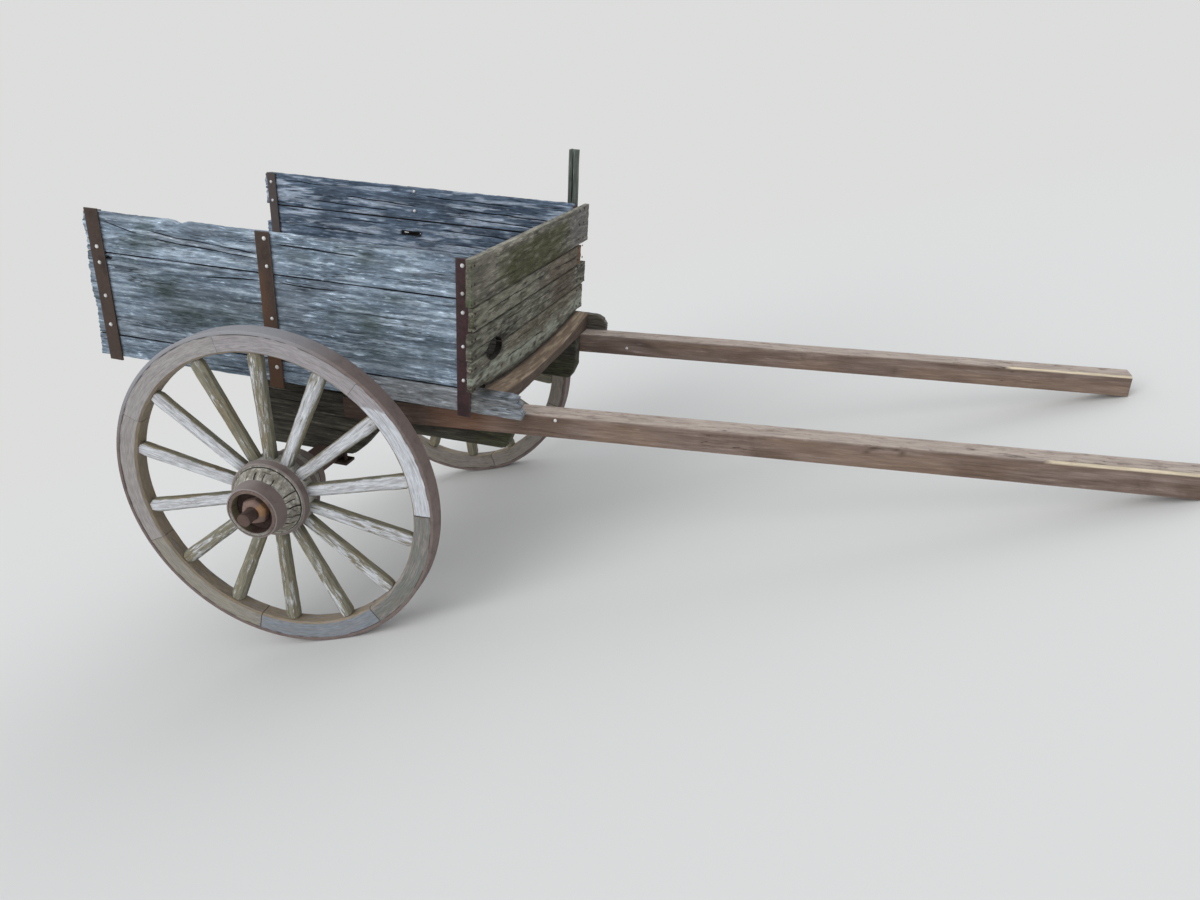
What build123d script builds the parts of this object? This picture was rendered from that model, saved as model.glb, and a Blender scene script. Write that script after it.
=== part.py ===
from build123d import *
import os
from math import asin, atan2, cos, hypot, radians, sin, sqrt, tan

# A two-wheeled farm cart, parked nose down on its two wheels and its two shaft tips.
# +X is forward, +Y is the left side and +Z is up; the floor is z = 0. Sizes are millimetres.
# Bed coordinates are x forward, y to the left and z up from the sides' bottom edge.

# Wheels
wheel_radius = 580.0
tyre_thickness = 12.0
tyre_width = 66.0
felloe_depth = 63.0
felloe_width = 62.0
felloe_count = 7
felloe_joint = 1.0
felloe_chamfer = 7.0
spoke_count = 14
spoke_width_nave = 44.0
spoke_width_rim = 56.0
spoke_depth_nave = 46.0
spoke_depth_rim = 40.0
spoke_chamfer = 12.0
tenon_width = 24.0
tenon_depth = 36.0
tenon_inner_radius = 84.0
tongue_width = 26.0
tongue_depth = 30.0
tongue_length = 30.0
joint_clearance = 0.2
track_half = 752.0
wheel_turn = {"right": 17.5, "left": -9.0}
gather = radians(2.5)
camber = radians(1.5)

# Nave: distances along the axle are measured outwards from the middle of the spokes
nave_rear = -150.0
nave_nose = 150.0
belt_edge = 24.0
belt_band_end = 53.0
belt_radius = 137.0
spoke_seat_radius = 130.0
belt_band_outer = 135.0
belt_band_inner = 128.0
shoulder_end = 99.0
shoulder_radius = 124.0
nose_band_outer_back = 99.0
nose_band_outer_front = 90.0
nose_band_thickness = 6.0
rear_band_start = -118.0
rear_band_outer = 104.0
rear_band_thickness = 6.0
recess_radius = 72.0
recess_floor = 110.0
box_outer_radius = 48.0
running_clearance = 0.08

# Axle
axle_square = 64.0
axle_shoulder = 594.0
collar_radius = 46.0
arm_radius = 36.0
end_play = 1.5
tip_radius = 22.0
tip_end = 196.0
nut_radius = 46.0
nut_thickness = 30.0
nut_chamfer = 4.0

# Sides
bed_over_axle = 313.0
axle_ahead = 13.0
half_width = 541.0
board_thickness = 28.0
sill_thickness = 38.0
sill_height = 82.0
seam = 1.5
middle_board_top = 380.0
side_height = 520.0
corner_x = 629.0
slot_length = 88.0
slot_height = 11.0
slot_centre = (-89.0, 322.0)

# Head board: it stands askew, its left end further forward and lower than its right end
head_thickness = 25.0
head_lead = 18.0
head_drop = 13.0
head_seam = 2.0
hole_width = 116.0
hole_height = 64.0
hole_centre = (-396.0, 180.0)

# Floor
joist_width = 70.0
joist_height = 57.0
floor_thickness = 25.0
floor_board_count = 7
floor_gap = 4.0
floor_rear_x = -802.0

# Rails that stand on the axle
rail_thickness = 70.0
rail_rear_x = -250.0
rail_front_x = 731.0
rail_depth_axle = 296.0
rail_depth_front = 172.0
rail_belly_x = 105.0
rail_rise_length = 150.0
rail_bevel_x = 26.0
rail_bevel_z = 50.0

# Shafts
shaft_width = 86.0
shaft_height = 78.0
shaft_reach = 2190.0
shaft_tail = 488.0
shaft_rise_angle = 3.67
shaft_splay_angle = 0.85
shaft_gap = 0.5
grip_length = 430.0
grip_chamfer_across = 15.0
grip_chamfer_down = 7.0
grip_overcut = 2.0

# Front beam
beam_front_x = 733.0
beam_top = 76.0
beam_hollow = 28.0
beam_hollow_half = 480.0

# Iron straps and the stake
strap_thickness = 6.0
strap_width = 54.0
iron_width = 46.0
iron_leg = 42.0
iron_foot = 14.0
stake_size = 37.0
stake_top = 728.0
stake_back = 9.0
stake_foot = 12.0
clip_plate_thickness = 10.0
clip_plate_length = 150.0
clip_plate_width = 60.0
clip_bolt_radius = 8.0

# Worked-out sizes
# The tyres' outer edges touch the ground at their lowest points
axle_height = wheel_radius * cos(camber) + tyre_width / 2 * sin(camber)
rise = radians(shaft_rise_angle)
splay = tan(radians(shaft_splay_angle))
tip_x = corner_x + shaft_reach * cos(rise) + shaft_height * sin(rise) - axle_ahead
tip_z = bed_over_axle + shaft_reach * sin(rise) - shaft_height * cos(rise)
nose_down = atan2(tip_z, tip_x) + asin(axle_height / hypot(tip_x, tip_z))
shaft_outer_y = half_width - sill_thickness - shaft_gap

# The highest point of the tips reaches furthest forward, and the sills' lower ends furthest back
top_x = corner_x + shaft_reach * cos(rise) - axle_ahead
top_z = bed_over_axle + shaft_reach * sin(rise)
sill_rear_x = -815.0
front_reach = top_x * cos(nose_down) + top_z * sin(nose_down)
rear_reach = (sill_rear_x - axle_ahead) * cos(nose_down) + bed_over_axle * sin(nose_down)
axle_x = -(front_reach + rear_reach) / 2

forward = Vector(cos(nose_down), 0, -sin(nose_down))
upward = Vector(sin(nose_down), 0, cos(nose_down))
leftward = Vector(0, 1, 0)
axle_centre = Vector(axle_x, 0, axle_height)
bed_origin = axle_centre + upward * bed_over_axle - forward * axle_ahead
sides = {"right": -1, "left": 1}

# The axle's arms point a little forward and down, so the bar lies behind and above the wheels' centres
bar_back = (track_half - axle_shoulder) * sin(gather)
bar_up = (track_half - axle_shoulder) * sin(camber)
bar_centre = (
    axle_ahead - bar_back * cos(nose_down) - bar_up * sin(nose_down),
    -bed_over_axle - bar_back * sin(nose_down) + bar_up * cos(nose_down),
)

# The head board's rear face passes in front of both corner irons
head_x = corner_x + strap_thickness
head_skew = atan2(head_lead, 2 * half_width)
head_tilt = atan2(head_drop, 2 * half_width)

os.makedirs("parts", exist_ok=True)


def bed_point(x, y, z):
    return bed_origin + forward * x + leftward * y + upward * z


def side_plane(y, x=0, turn=0.0):
    """A plane seen from the right side: local x runs forward, local y up, and its normal to the right."""
    ahead = forward * cos(turn) + leftward * sin(turn)
    return Plane(origin=bed_point(x, y, 0), x_dir=ahead, z_dir=ahead.cross(upward))


def cross_plane(x):
    """A plane across the bed: local x runs to the left, local y up, and its normal forward."""
    return Plane(origin=bed_point(x, 0, 0), x_dir=leftward, z_dir=forward)


def level_plane(z):
    """A plane parallel to the bed: local x runs forward and local y to the left."""
    return Plane(origin=bed_point(0, 0, z), x_dir=forward, z_dir=upward)


def head_rear(y):
    """Bed x of the head board's rear face at a distance to the left of the middle."""
    return head_x + (y + half_width) * tan(head_skew)


def iron_front(side):
    """Bed x of a corner iron's front face, where it meets the head board."""
    inner = side * (half_width + strap_thickness - iron_leg)
    outer = side * (half_width + strap_thickness)
    return min(head_rear(inner), head_rear(outer))


def outward(side):
    """The direction of a wheel's axis, away from the cart."""
    return Vector(sin(gather) * cos(camber), side * cos(gather) * cos(camber), -sin(camber))


def hub_plane(side, out=0.0):
    """A plane across a wheel's axis: local x and y as seen from outside, y up, and its normal outwards."""
    centre = axle_centre + leftward * side * track_half + outward(side) * out
    return Plane(origin=centre, x_dir=Vector(-side * cos(gather), sin(gather), 0), z_dir=outward(side))


def section_plane(side):
    """A plane through a wheel's axis: local x is the radius and local y the distance outwards."""
    hub = hub_plane(side)
    return Plane(origin=hub.origin, x_dir=hub.x_dir, z_dir=hub.y_dir * -1)


def save(name, builder):
    builder.part.label = name
    export_step(builder.part, f"parts/{name}.step")


def outer_and_inner(side, near, far):
    """The leftmost of two distances from the middle on one side, and the distance between them."""
    return max(side * near, side * far), abs(far - near)


def plank(name, side, outer, thickness, outline, slotted=False):
    """A board that lies along the side, cut to an outline of bed x and z, with a slot where it has one."""
    start, width = outer_and_inner(side, outer - thickness, outer)
    with BuildPart() as board:
        with BuildSketch(side_plane(start)):
            with BuildLine():
                Polyline(*outline, close=True)
            make_face()
            if slotted:
                with Locations(slot_centre):
                    SlotOverall(slot_length, slot_height, mode=Mode.SUBTRACT)
        extrude(amount=width)
    save(name, board)


# Side boards: the broken ends are the few points that their outlines need
right_sill_nose = ((811, 0), (818, 21), (805, 34), (815, 50), (797, 58), (801, 72), (770, sill_height))
left_nose_radius = 48.0
left_nose_x = 815.0
left_nose_top = 68.0
middle_foot = sill_height + seam
top_foot = middle_board_top + seam
# name, foot, top, rear ends from the foot up as (x, share of the height)
upper_boards = (
    ("middle_board", middle_foot, middle_board_top, ((-806, 0), (-799, 0.3), (-808, 0.55), (-796, 1))),
    ("top_board", top_foot, side_height, ((-797, 0), (-790, 0.4), (-794, 0.7), (-784, 1))),
)
sill_rear = ((-806, sill_height), (-811, 48), (sill_rear_x, 0))

for side_name, side in sides.items():
    front_x = iron_front(side) - strap_thickness
    for board_name, foot, head, rear in upper_boards:
        rear_points = [(x, foot + share * (head - foot)) for x, share in reversed(rear)]
        outline = [(front_x, foot), (front_x, head)] + rear_points
        slotted = (side_name, board_name) == ("left", "middle_board")
        plank(f"{side_name}_{board_name}", side, half_width, board_thickness, outline, slotted)

plank("right_sill", -1, half_width, sill_thickness, right_sill_nose + sill_rear)

# The left sill is cut down in front of the corner and rounded at its nose
with BuildPart() as left_sill:
    with BuildSketch(side_plane(half_width)):
        with BuildLine():
            nose_rear_x = left_nose_x - left_nose_radius
            cut_x = iron_front(1) - strap_thickness
            Polyline((nose_rear_x, left_nose_top), (cut_x, left_nose_top), (cut_x, sill_height), *sill_rear,
                     (left_nose_x, 0))
            Line((left_nose_x, 0), (left_nose_x, left_nose_top - left_nose_radius))
            RadiusArc(
                (left_nose_x, left_nose_top - left_nose_radius),
                (nose_rear_x, left_nose_top),
                -left_nose_radius,
            )
        make_face()
    extrude(amount=sill_thickness)
save("left_sill", left_sill)

# Head board: four boards across the front, in front of the corner irons' legs
head_across = leftward * cos(head_skew) + forward * sin(head_skew)
head_plane = Plane(
    origin=bed_point(head_rear(0), 0, 0),
    x_dir=head_across * cos(head_tilt) - upward * sin(head_tilt),
    z_dir=forward * cos(head_skew) - leftward * sin(head_skew),
)
head_foot = 78.0
# name, foot, top, how far its right and left ends stand out past the sides
head_boards = (
    ("head_board_bottom", head_foot, 184, 47, 59),
    ("head_board_third", 184 + head_seam, 277, 53, 84),
    ("head_board_second", 277 + head_seam, 359, 35, 14),
    ("head_board_top", 359 + head_seam, 515, 53, 99),
)
for name, foot, head, right_overhang, left_overhang in head_boards:
    right_end = -half_width - right_overhang
    left_end = half_width + left_overhang
    with BuildPart() as head_board:
        with BuildSketch(head_plane):
            with BuildLine():
                Polyline((right_end, foot), (left_end, foot), (left_end, head), (right_end, head), close=True)
            make_face()
            # The bottom board reaches down to the beam's hollow top
            if foot == head_foot:
                with BuildLine():
                    Line((beam_hollow_half, foot), (-beam_hollow_half, foot))
                    ThreePointArc((-beam_hollow_half, foot), (0, foot - beam_hollow), (beam_hollow_half, foot))
                make_face()
            # The rotted hole takes the edges of the two boards at its seam
            with Locations(hole_centre):
                Ellipse(hole_width / 2, hole_height / 2, mode=Mode.SUBTRACT)
        extrude(amount=head_thickness)
    save(name, head_board)

# Floor: joists between the sills, and boards along them
joist_reach = half_width - sill_thickness
joist_places = (-760, -430, -100, 230, 560)
with BuildPart() as joists:
    for joist_x in joist_places:
        with BuildSketch(cross_plane(joist_x - joist_width / 2)):
            with Locations((0, joist_height / 2)):
                Rectangle(2 * joist_reach, joist_height)
        extrude(amount=joist_width)
save("joists", joists)

floor_board_width = (2 * joist_reach - (floor_board_count - 1) * floor_gap) / floor_board_count
floor_length = corner_x - floor_rear_x
with BuildPart() as floor_boards:
    with BuildSketch(level_plane(joist_height)):
        with Locations(((corner_x + floor_rear_x) / 2, 0)):
            with GridLocations(1, floor_board_width + floor_gap, 1, floor_board_count):
                Rectangle(floor_length, floor_board_width)
    extrude(amount=floor_thickness)
save("floor_boards", floor_boards)


# Shafts: planed bars whose top meets the sides' bottom edge at the front corner
shaft_x_dir = forward * cos(rise) + upward * sin(rise)
shaft_z_dir = upward * cos(rise) - forward * sin(rise)
shaft_top = Plane(origin=bed_point(corner_x, 0, 0), x_dir=shaft_x_dir, z_dir=shaft_z_dir)
# side, how far in from its outer face the planed edge of its grip lies
for side_name, planed_edge in (("right", 0), ("left", shaft_width)):
    side = sides[side_name]
    ends = ((shaft_reach, 0), (-shaft_tail, 0), (-shaft_tail, shaft_width), (shaft_reach, shaft_width))
    plan = [(x, side * (shaft_outer_y - depth_in - x * splay)) for x, depth_in in ends]
    with BuildPart() as shaft:
        with BuildSketch(shaft_top):
            with BuildLine():
                Polyline(*plan, close=True)
            make_face()
        extrude(amount=-shaft_height)
        # The upper edge on the cart's right is taken off over the grip
        along = (shaft_x_dir - leftward * side * splay).normalized()
        edge = (shaft_reach, side * (shaft_outer_y - planed_edge - shaft_reach * splay), 0)
        slope = grip_chamfer_down / grip_chamfer_across
        with BuildSketch(Plane(shaft_top.from_local_coords(edge), leftward, shaft_x_dir)):
            with BuildLine():
                Polyline(
                    (grip_chamfer_across, 0),
                    (-grip_overcut, -grip_chamfer_down - slope * grip_overcut),
                    (-grip_overcut, grip_overcut),
                    (grip_chamfer_across, grip_overcut),
                    close=True,
                )
            make_face()
        extrude(amount=grip_length, dir=along * -1, mode=Mode.SUBTRACT)
    save(f"{side_name}_shaft", shaft)

# Front beam: it lies on the shafts' slope, against the head board
beam_half = joist_reach - shaft_gap
beam_rear = [(head_rear(y) + head_thickness / cos(head_skew), y) for y in (beam_half, -beam_half)]
with BuildPart() as front_beam:
    with BuildSketch(level_plane(beam_top)):
        with BuildLine():
            Polyline((beam_front_x, -beam_half), (beam_front_x, beam_half), *beam_rear, close=True)
        make_face()
    extrude(amount=-beam_top)
    with BuildSketch(side_plane(half_width)):
        with BuildLine():
            Polyline(
                (corner_x, 0),
                (beam_front_x + shaft_width, (beam_front_x + shaft_width - corner_x) * tan(rise)),
                (beam_front_x + shaft_width, -shaft_height),
                (corner_x, -shaft_height),
                close=True,
            )
        make_face()
    extrude(amount=2 * half_width, mode=Mode.SUBTRACT)
    # Its top is worn hollow between the shafts
    with BuildSketch(cross_plane(corner_x)):
        with BuildLine():
            Line((beam_hollow_half, beam_top), (-beam_hollow_half, beam_top))
            ThreePointArc((-beam_hollow_half, beam_top), (0, beam_top - beam_hollow), (beam_hollow_half, beam_top))
        make_face()
    extrude(amount=beam_front_x + shaft_width - corner_x, mode=Mode.SUBTRACT)
save("front_beam", front_beam)

# Rails: deep over the axle, they lie beside the shafts and carry the joists
rail_outer_y = shaft_outer_y - shaft_width - joint_clearance
rail_half_rise = (rail_belly_x + rail_rise_length / 2, -(rail_depth_axle + rail_depth_front) / 2)
for side_name, side in sides.items():
    turn = -side * atan2(splay, 1)
    near_y = side * rail_outer_y if side > 0 else side * (rail_outer_y - rail_thickness)
    with BuildPart() as rail:
        with BuildSketch(side_plane(near_y, corner_x, turn)):
            with BuildLine():
                shift = Vector(-corner_x, 0)
                belly = Vector(rail_belly_x, -rail_depth_axle) + shift
                rear_foot = Vector(rail_rear_x, -rail_depth_axle) + shift
                Polyline(belly, rear_foot, Vector(rail_rear_x, 0) + shift, Vector(rail_front_x, 0) + shift,
                         Vector(rail_front_x, rail_bevel_z - rail_depth_front) + shift,
                         Vector(rail_front_x - rail_bevel_x, -rail_depth_front) + shift,
                         Vector(rail_belly_x + rail_rise_length, -rail_depth_front) + shift)
                TangentArc(belly, Vector(*rail_half_rise) + shift, tangent=(1, 0))
                TangentArc(Vector(rail_belly_x + rail_rise_length, -rail_depth_front) + shift,
                           Vector(*rail_half_rise) + shift, tangent=(-1, 0))
            make_face()
        extrude(amount=rail_thickness)
        # The axle's square bar is let into the underside
        with BuildSketch(side_plane(half_width)):
            with Locations(bar_centre):
                Rectangle(axle_square + 2 * joint_clearance, axle_square)
        extrude(amount=2 * half_width, mode=Mode.SUBTRACT)
    save(f"{side_name}_rail", rail)

# Axle: a square bar with a collar, a round arm and a screwed tip at each end
arm_end = recess_floor + end_play
collar_end = nave_rear - end_play
collar_root = 5.0
with BuildPart() as axle:
    with BuildSketch(side_plane(axle_shoulder)):
        with Locations(bar_centre):
            Rectangle(axle_square, axle_square)
    extrude(amount=2 * axle_shoulder)
    for side in sides.values():
        with BuildSketch(hub_plane(side, collar_end)):
            Circle(collar_radius)
        extrude(amount=axle_shoulder - track_half - collar_end - collar_root)
        with BuildSketch(hub_plane(side, arm_end)):
            Circle(arm_radius)
        extrude(amount=collar_end - arm_end)
        with BuildSketch(hub_plane(side, arm_end)):
            Circle(tip_radius)
        extrude(amount=tip_end - arm_end)
save("axle", axle)

for side_name, side in sides.items():
    with BuildPart() as nut:
        with BuildSketch(hub_plane(side, arm_end)):
            RegularPolygon(nut_radius, 6)
            Circle(tip_radius + joint_clearance, mode=Mode.SUBTRACT)
        extrude(amount=nut_thickness)
        front_face = nut.faces().filter_by(GeomType.PLANE).sort_by(Axis((0, 0, 0), (0, side, 0)))[-1]
        chamfer(front_face.outer_wire().edges(), nut_chamfer)
    save(f"{side_name}_axle_nut", nut)

    # A plate under the axle, drawn up to the rail by two bolts
    clip_y = side * (rail_outer_y - rail_thickness / 2)
    clip_x = bar_centre[0]
    clip_top = bar_centre[1] - axle_square / 2
    bolt_x = (clip_plate_length - 3 * clip_bolt_radius) / 2 - clip_bolt_radius
    with BuildPart() as clip:
        with BuildSketch(level_plane(clip_top)):
            with Locations((clip_x, clip_y)):
                Rectangle(clip_plate_length, clip_plate_width)
        extrude(amount=-clip_plate_thickness)
        with BuildSketch(level_plane(clip_top)):
            with Locations((clip_x - bolt_x, clip_y), (clip_x + bolt_x, clip_y)):
                Circle(clip_bolt_radius)
        extrude(amount=-rail_depth_axle - clip_top)
    save(f"{side_name}_axle_clip", clip)

# Iron straps down the sides' outer faces, an inner strap at the rear, and the front corner irons
# name, rear edge, foot, top
outer_straps = (("rear_strap", -772, -12, 530), ("middle_strap", -113, -20, 521))
inner_strap_x = -776
for side_name, side in sides.items():
    for strap_name, strap_x, foot, head in outer_straps:
        start, width = outer_and_inner(side, half_width, half_width + strap_thickness)
        with BuildPart() as strap:
            with BuildSketch(side_plane(start)):
                with Locations((strap_x + strap_width / 2, (foot + head) / 2)):
                    Rectangle(strap_width, head - foot)
            extrude(amount=width)
        save(f"{side_name}_{strap_name}", strap)

    inner_face = half_width - board_thickness
    start, width = outer_and_inner(side, inner_face - strap_thickness, inner_face)
    inner_foot = sill_height + seam
    with BuildPart() as inner_strap:
        with BuildSketch(side_plane(start)):
            with Locations((inner_strap_x + iron_leg / 2, (inner_foot + side_height) / 2)):
                Rectangle(iron_leg, side_height - inner_foot)
        extrude(amount=width)
    save(f"{side_name}_inner_strap", inner_strap)

    # The corner iron is an angle: one leg on the side's face, one across the upper boards' ends
    iron_top = side_height - seam - strap_thickness
    front_x = iron_front(side)
    with BuildPart() as corner_iron:
        start, width = outer_and_inner(side, half_width, half_width + strap_thickness)
        with BuildSketch(side_plane(start)):
            with Locations((front_x - iron_width / 2, (iron_top - iron_foot) / 2)):
                Rectangle(iron_width, iron_top + iron_foot)
        extrude(amount=width)
        start, width = outer_and_inner(side, half_width + strap_thickness - iron_leg, half_width + strap_thickness)
        with BuildSketch(side_plane(start)):
            with Locations((front_x - strap_thickness / 2, (iron_top + middle_foot) / 2)):
                Rectangle(strap_thickness, iron_top - middle_foot)
        extrude(amount=width)
    save(f"{side_name}_corner_iron", corner_iron)

stake_y = half_width + strap_thickness + joint_clearance
stake_front_x = head_rear(stake_y) - stake_back
with BuildPart() as corner_stake:
    with BuildSketch(level_plane(-stake_foot)):
        with Locations((stake_front_x - stake_size / 2, stake_y + stake_size / 2)):
            Rectangle(stake_size, stake_size)
    extrude(amount=stake_foot + stake_top)
save("corner_stake", corner_stake)


def spoke_places(side_name):
    """Clockwise angles from the top, as seen from outside, at which the spokes stand."""
    return [wheel_turn[side_name] + index * 360 / spoke_count for index in range(spoke_count)]


def spoke_plane(hub, angle, radius):
    """A plane across a spoke: local x runs round the wheel, local y along the axle."""
    out = hub.x_dir * sin(radians(angle)) + hub.y_dir * cos(radians(angle))
    return Plane(origin=hub.origin + out * radius, x_dir=hub.z_dir.cross(out), z_dir=out)


def faceted(width, depth, corner):
    """A bar's section with its four corners planed off."""
    with BuildSketch(mode=Mode.PRIVATE) as section:
        Rectangle(width, depth)
        chamfer(section.vertices(), corner)
    return section.sketch


def ring(name, side, outlines):
    """Solids of revolution about the axle, each from an outline of radius and distance outwards."""
    with BuildPart() as turned:
        for outline in outlines:
            with BuildSketch(section_plane(side)):
                with BuildLine():
                    Polyline(*outline, close=True)
                make_face()
            revolve(axis=Axis(hub_plane(side).origin, outward(side)))
    save(name, turned)


felloe_outer = wheel_radius - tyre_thickness
felloe_inner = felloe_outer - felloe_depth
spoke_end = sqrt(felloe_inner**2 - (spoke_width_rim / 2) ** 2) - joint_clearance

for side_name, side in sides.items():
    hub = hub_plane(side)

    # Nave: a turned block, flat where the spokes' shoulders stand and mortised for their tenons
    nose_inner_back = nose_band_outer_back - nose_band_thickness
    nose_inner_front = nose_band_outer_front - nose_band_thickness
    rear_inner = rear_band_outer - rear_band_thickness
    box_seat = box_outer_radius + joint_clearance
    nave_outline = (
        (box_seat, nave_rear),
        (rear_inner, nave_rear),
        (rear_inner, rear_band_start),
        (rear_band_outer - rear_band_thickness / 2, rear_band_start),
        (belt_band_inner, -belt_band_end),
        (belt_band_inner, -belt_edge),
        (belt_radius, -belt_edge),
        (belt_radius, belt_edge),
        (belt_band_inner, belt_edge),
        (belt_band_inner, belt_band_end),
        (shoulder_radius, belt_band_end),
        (nose_band_outer_back - nose_band_thickness / 2, shoulder_end),
        (nose_inner_back, shoulder_end),
        (nose_inner_front, nave_nose),
        (recess_radius, nave_nose),
        (recess_radius, recess_floor),
        (box_seat, recess_floor),
    )
    with BuildPart() as nave:
        with BuildSketch(section_plane(side)):
            with BuildLine():
                Polyline(*nave_outline, close=True)
            make_face()
        revolve(axis=Axis(hub.origin, outward(side)))
        for angle in spoke_places(side_name):
            with BuildSketch(spoke_plane(hub, angle, spoke_seat_radius)):
                Rectangle(spoke_seat_radius, 2 * belt_edge)
            extrude(amount=belt_radius - spoke_seat_radius + seam, mode=Mode.SUBTRACT)
            with BuildSketch(spoke_plane(hub, angle, tenon_inner_radius)):
                Rectangle(tenon_width + 2 * joint_clearance, tenon_depth + 2 * joint_clearance)
            extrude(amount=belt_radius - tenon_inner_radius, mode=Mode.SUBTRACT)
    save(f"{side_name}_nave", nave)

    ring(f"{side_name}_nave_bands", side, (
        ((rear_inner, nave_rear), (rear_band_outer, nave_rear), (rear_band_outer, rear_band_start),
         (rear_inner, rear_band_start)),
        ((belt_band_inner, -belt_band_end), (belt_band_outer, -belt_band_end), (belt_band_outer, -belt_edge),
         (belt_band_inner, -belt_edge)),
        ((belt_band_inner, belt_edge), (belt_band_outer, belt_edge), (belt_band_outer, belt_band_end),
         (belt_band_inner, belt_band_end)),
        ((nose_inner_back, shoulder_end), (nose_band_outer_back, shoulder_end),
         (nose_band_outer_front, nave_nose), (nose_inner_front, nave_nose)),
    ))

    bore = arm_radius + running_clearance
    ring(f"{side_name}_axle_box", side, (
        ((bore, nave_rear), (box_outer_radius, nave_rear), (box_outer_radius, recess_floor),
         (bore, recess_floor)),
    ))

    ring(f"{side_name}_tyre", side, (
        ((felloe_outer, -tyre_width / 2), (wheel_radius, -tyre_width / 2), (wheel_radius, tyre_width / 2),
         (felloe_outer, tyre_width / 2)),
    ))

    with BuildPart() as spokes:
        for angle in spoke_places(side_name):
            with BuildSketch(spoke_plane(hub, angle, spoke_seat_radius)):
                add(faceted(spoke_width_nave, spoke_depth_nave, spoke_chamfer))
            with BuildSketch(spoke_plane(hub, angle, spoke_end)):
                add(faceted(spoke_width_rim, spoke_depth_rim, spoke_chamfer))
            loft(ruled=True)
            with BuildSketch(spoke_plane(hub, angle, tenon_inner_radius + joint_clearance)):
                Rectangle(tenon_width, tenon_depth)
            extrude(amount=spoke_seat_radius - tenon_inner_radius)
            with BuildSketch(spoke_plane(hub, angle, spoke_end)):
                Rectangle(tongue_width, tongue_depth)
            extrude(amount=tongue_length)
    save(f"{side_name}_spokes", spokes)

    with BuildPart() as felloes:
        with BuildSketch(hub.offset(-felloe_width / 2)):
            Circle(felloe_outer)
            Circle(felloe_inner, mode=Mode.SUBTRACT)
        extrude(amount=felloe_width)
        inner_edges = felloes.edges().filter_by(GeomType.CIRCLE).sort_by(SortBy.RADIUS)[:2]
        chamfer(inner_edges, felloe_chamfer)
        for index in range(felloe_count):
            joint = wheel_turn[side_name] + (2 * index + 1.5) * 360 / spoke_count
            with BuildSketch(spoke_plane(hub, joint, felloe_inner - felloe_joint)):
                Rectangle(felloe_joint, felloe_width + seam)
            extrude(amount=felloe_depth + 2 * felloe_joint, mode=Mode.SUBTRACT)
        for angle in spoke_places(side_name):
            with BuildSketch(spoke_plane(hub, angle, felloe_inner - felloe_joint)):
                Rectangle(tongue_width + 2 * joint_clearance, tongue_depth + 2 * joint_clearance)
            depth = spoke_end + tongue_length - felloe_inner + felloe_joint + joint_clearance
            extrude(amount=depth, mode=Mode.SUBTRACT)
    save(f"{side_name}_felloes", felloes)
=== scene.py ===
import bpy
import numpy as np
from math import asin, atan2, cos, hypot, pi, radians, sin, sqrt, tan
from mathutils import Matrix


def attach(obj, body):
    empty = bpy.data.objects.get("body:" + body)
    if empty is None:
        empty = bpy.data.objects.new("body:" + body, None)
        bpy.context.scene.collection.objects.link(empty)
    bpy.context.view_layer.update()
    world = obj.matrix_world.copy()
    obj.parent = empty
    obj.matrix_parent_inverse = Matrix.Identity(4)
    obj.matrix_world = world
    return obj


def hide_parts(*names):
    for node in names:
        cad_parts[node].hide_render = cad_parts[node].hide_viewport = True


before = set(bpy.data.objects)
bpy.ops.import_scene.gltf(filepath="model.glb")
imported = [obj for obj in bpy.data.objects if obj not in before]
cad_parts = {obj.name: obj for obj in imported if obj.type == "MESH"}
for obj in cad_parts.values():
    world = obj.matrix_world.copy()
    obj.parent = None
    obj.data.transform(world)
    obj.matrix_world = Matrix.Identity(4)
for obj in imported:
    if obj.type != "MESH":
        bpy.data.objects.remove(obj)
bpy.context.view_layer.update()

# Sizes in millimetres, the same as in the part's source
mm = 0.001
sides = {"right": -1, "left": 1}

# Wheels
wheel_radius, track_half = 580.0, 752.0
wheel_turn = {"right": 17.5, "left": -9.0}
gather, camber = radians(2.5), radians(1.5)
tyre_thickness, tyre_width = 12.0, 66.0
felloe_count, felloe_depth, felloe_width, felloe_chamfer = 7, 63.0, 62.0, 7.0
spoke_count, spoke_seat, spoke_chamfer = 14, 130.0, 12.0
spoke_nave, spoke_rim = (44.0, 46.0), (56.0, 40.0)
nave_rear, rear_band_end, shoulder_end, nave_nose = -150.0, -118.0, 99.0, 150.0
nave_bore, rear_radius, barrel_radius, neck_radius, nose_radius = 48.2, 98.0, 128.0, 93.0, 84.0
belt_edge, belt_end, belt_radius = 24.0, 53.0, 137.0
recess_floor, recess_radius = 110.0, 72.0
nut_bore, nut_radius, nut_thickness = 22.2, 46.0, 30.0
felloe_outer = wheel_radius - tyre_thickness
felloe_inner = felloe_outer - felloe_depth

# Box
bed_over_axle, axle_ahead = 313.0, 13.0
half_width, board_thick, side_height, side_rear = 541.0, 28.0, 520.0, -800.0
sill_thick, sill_height = 38.0, 82.0
middle_foot, middle_top, top_foot = 83.5, 380.0, 381.5
corner_x, head_thick, head_lead, head_drop = 629.0, 25.0, 18.0, 13.0
hole_x, hole_z, hole_wide, hole_high = -396.0, 180.0, 116.0, 64.0
slot_x, slot_z, slot_long, slot_high = -89.0, 322.0, 88.0, 11.0
strap_thick, strap_width, iron_width, iron_leg = 6.0, 54.0, 46.0, 42.0
stake_size, stake_top, stake_foot, stake_back = 37.0, 728.0, 12.0, 9.0
inside = half_width - sill_thick
floor_count, floor_gap, floor_thick = 7, 4.0, 25.0
floor_width = (2 * inside - (floor_count - 1) * floor_gap) / floor_count
joist_places, joist_deep, joist_wide = (-760, -430, -100, 230, 560), 57.0, 70.0

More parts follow.
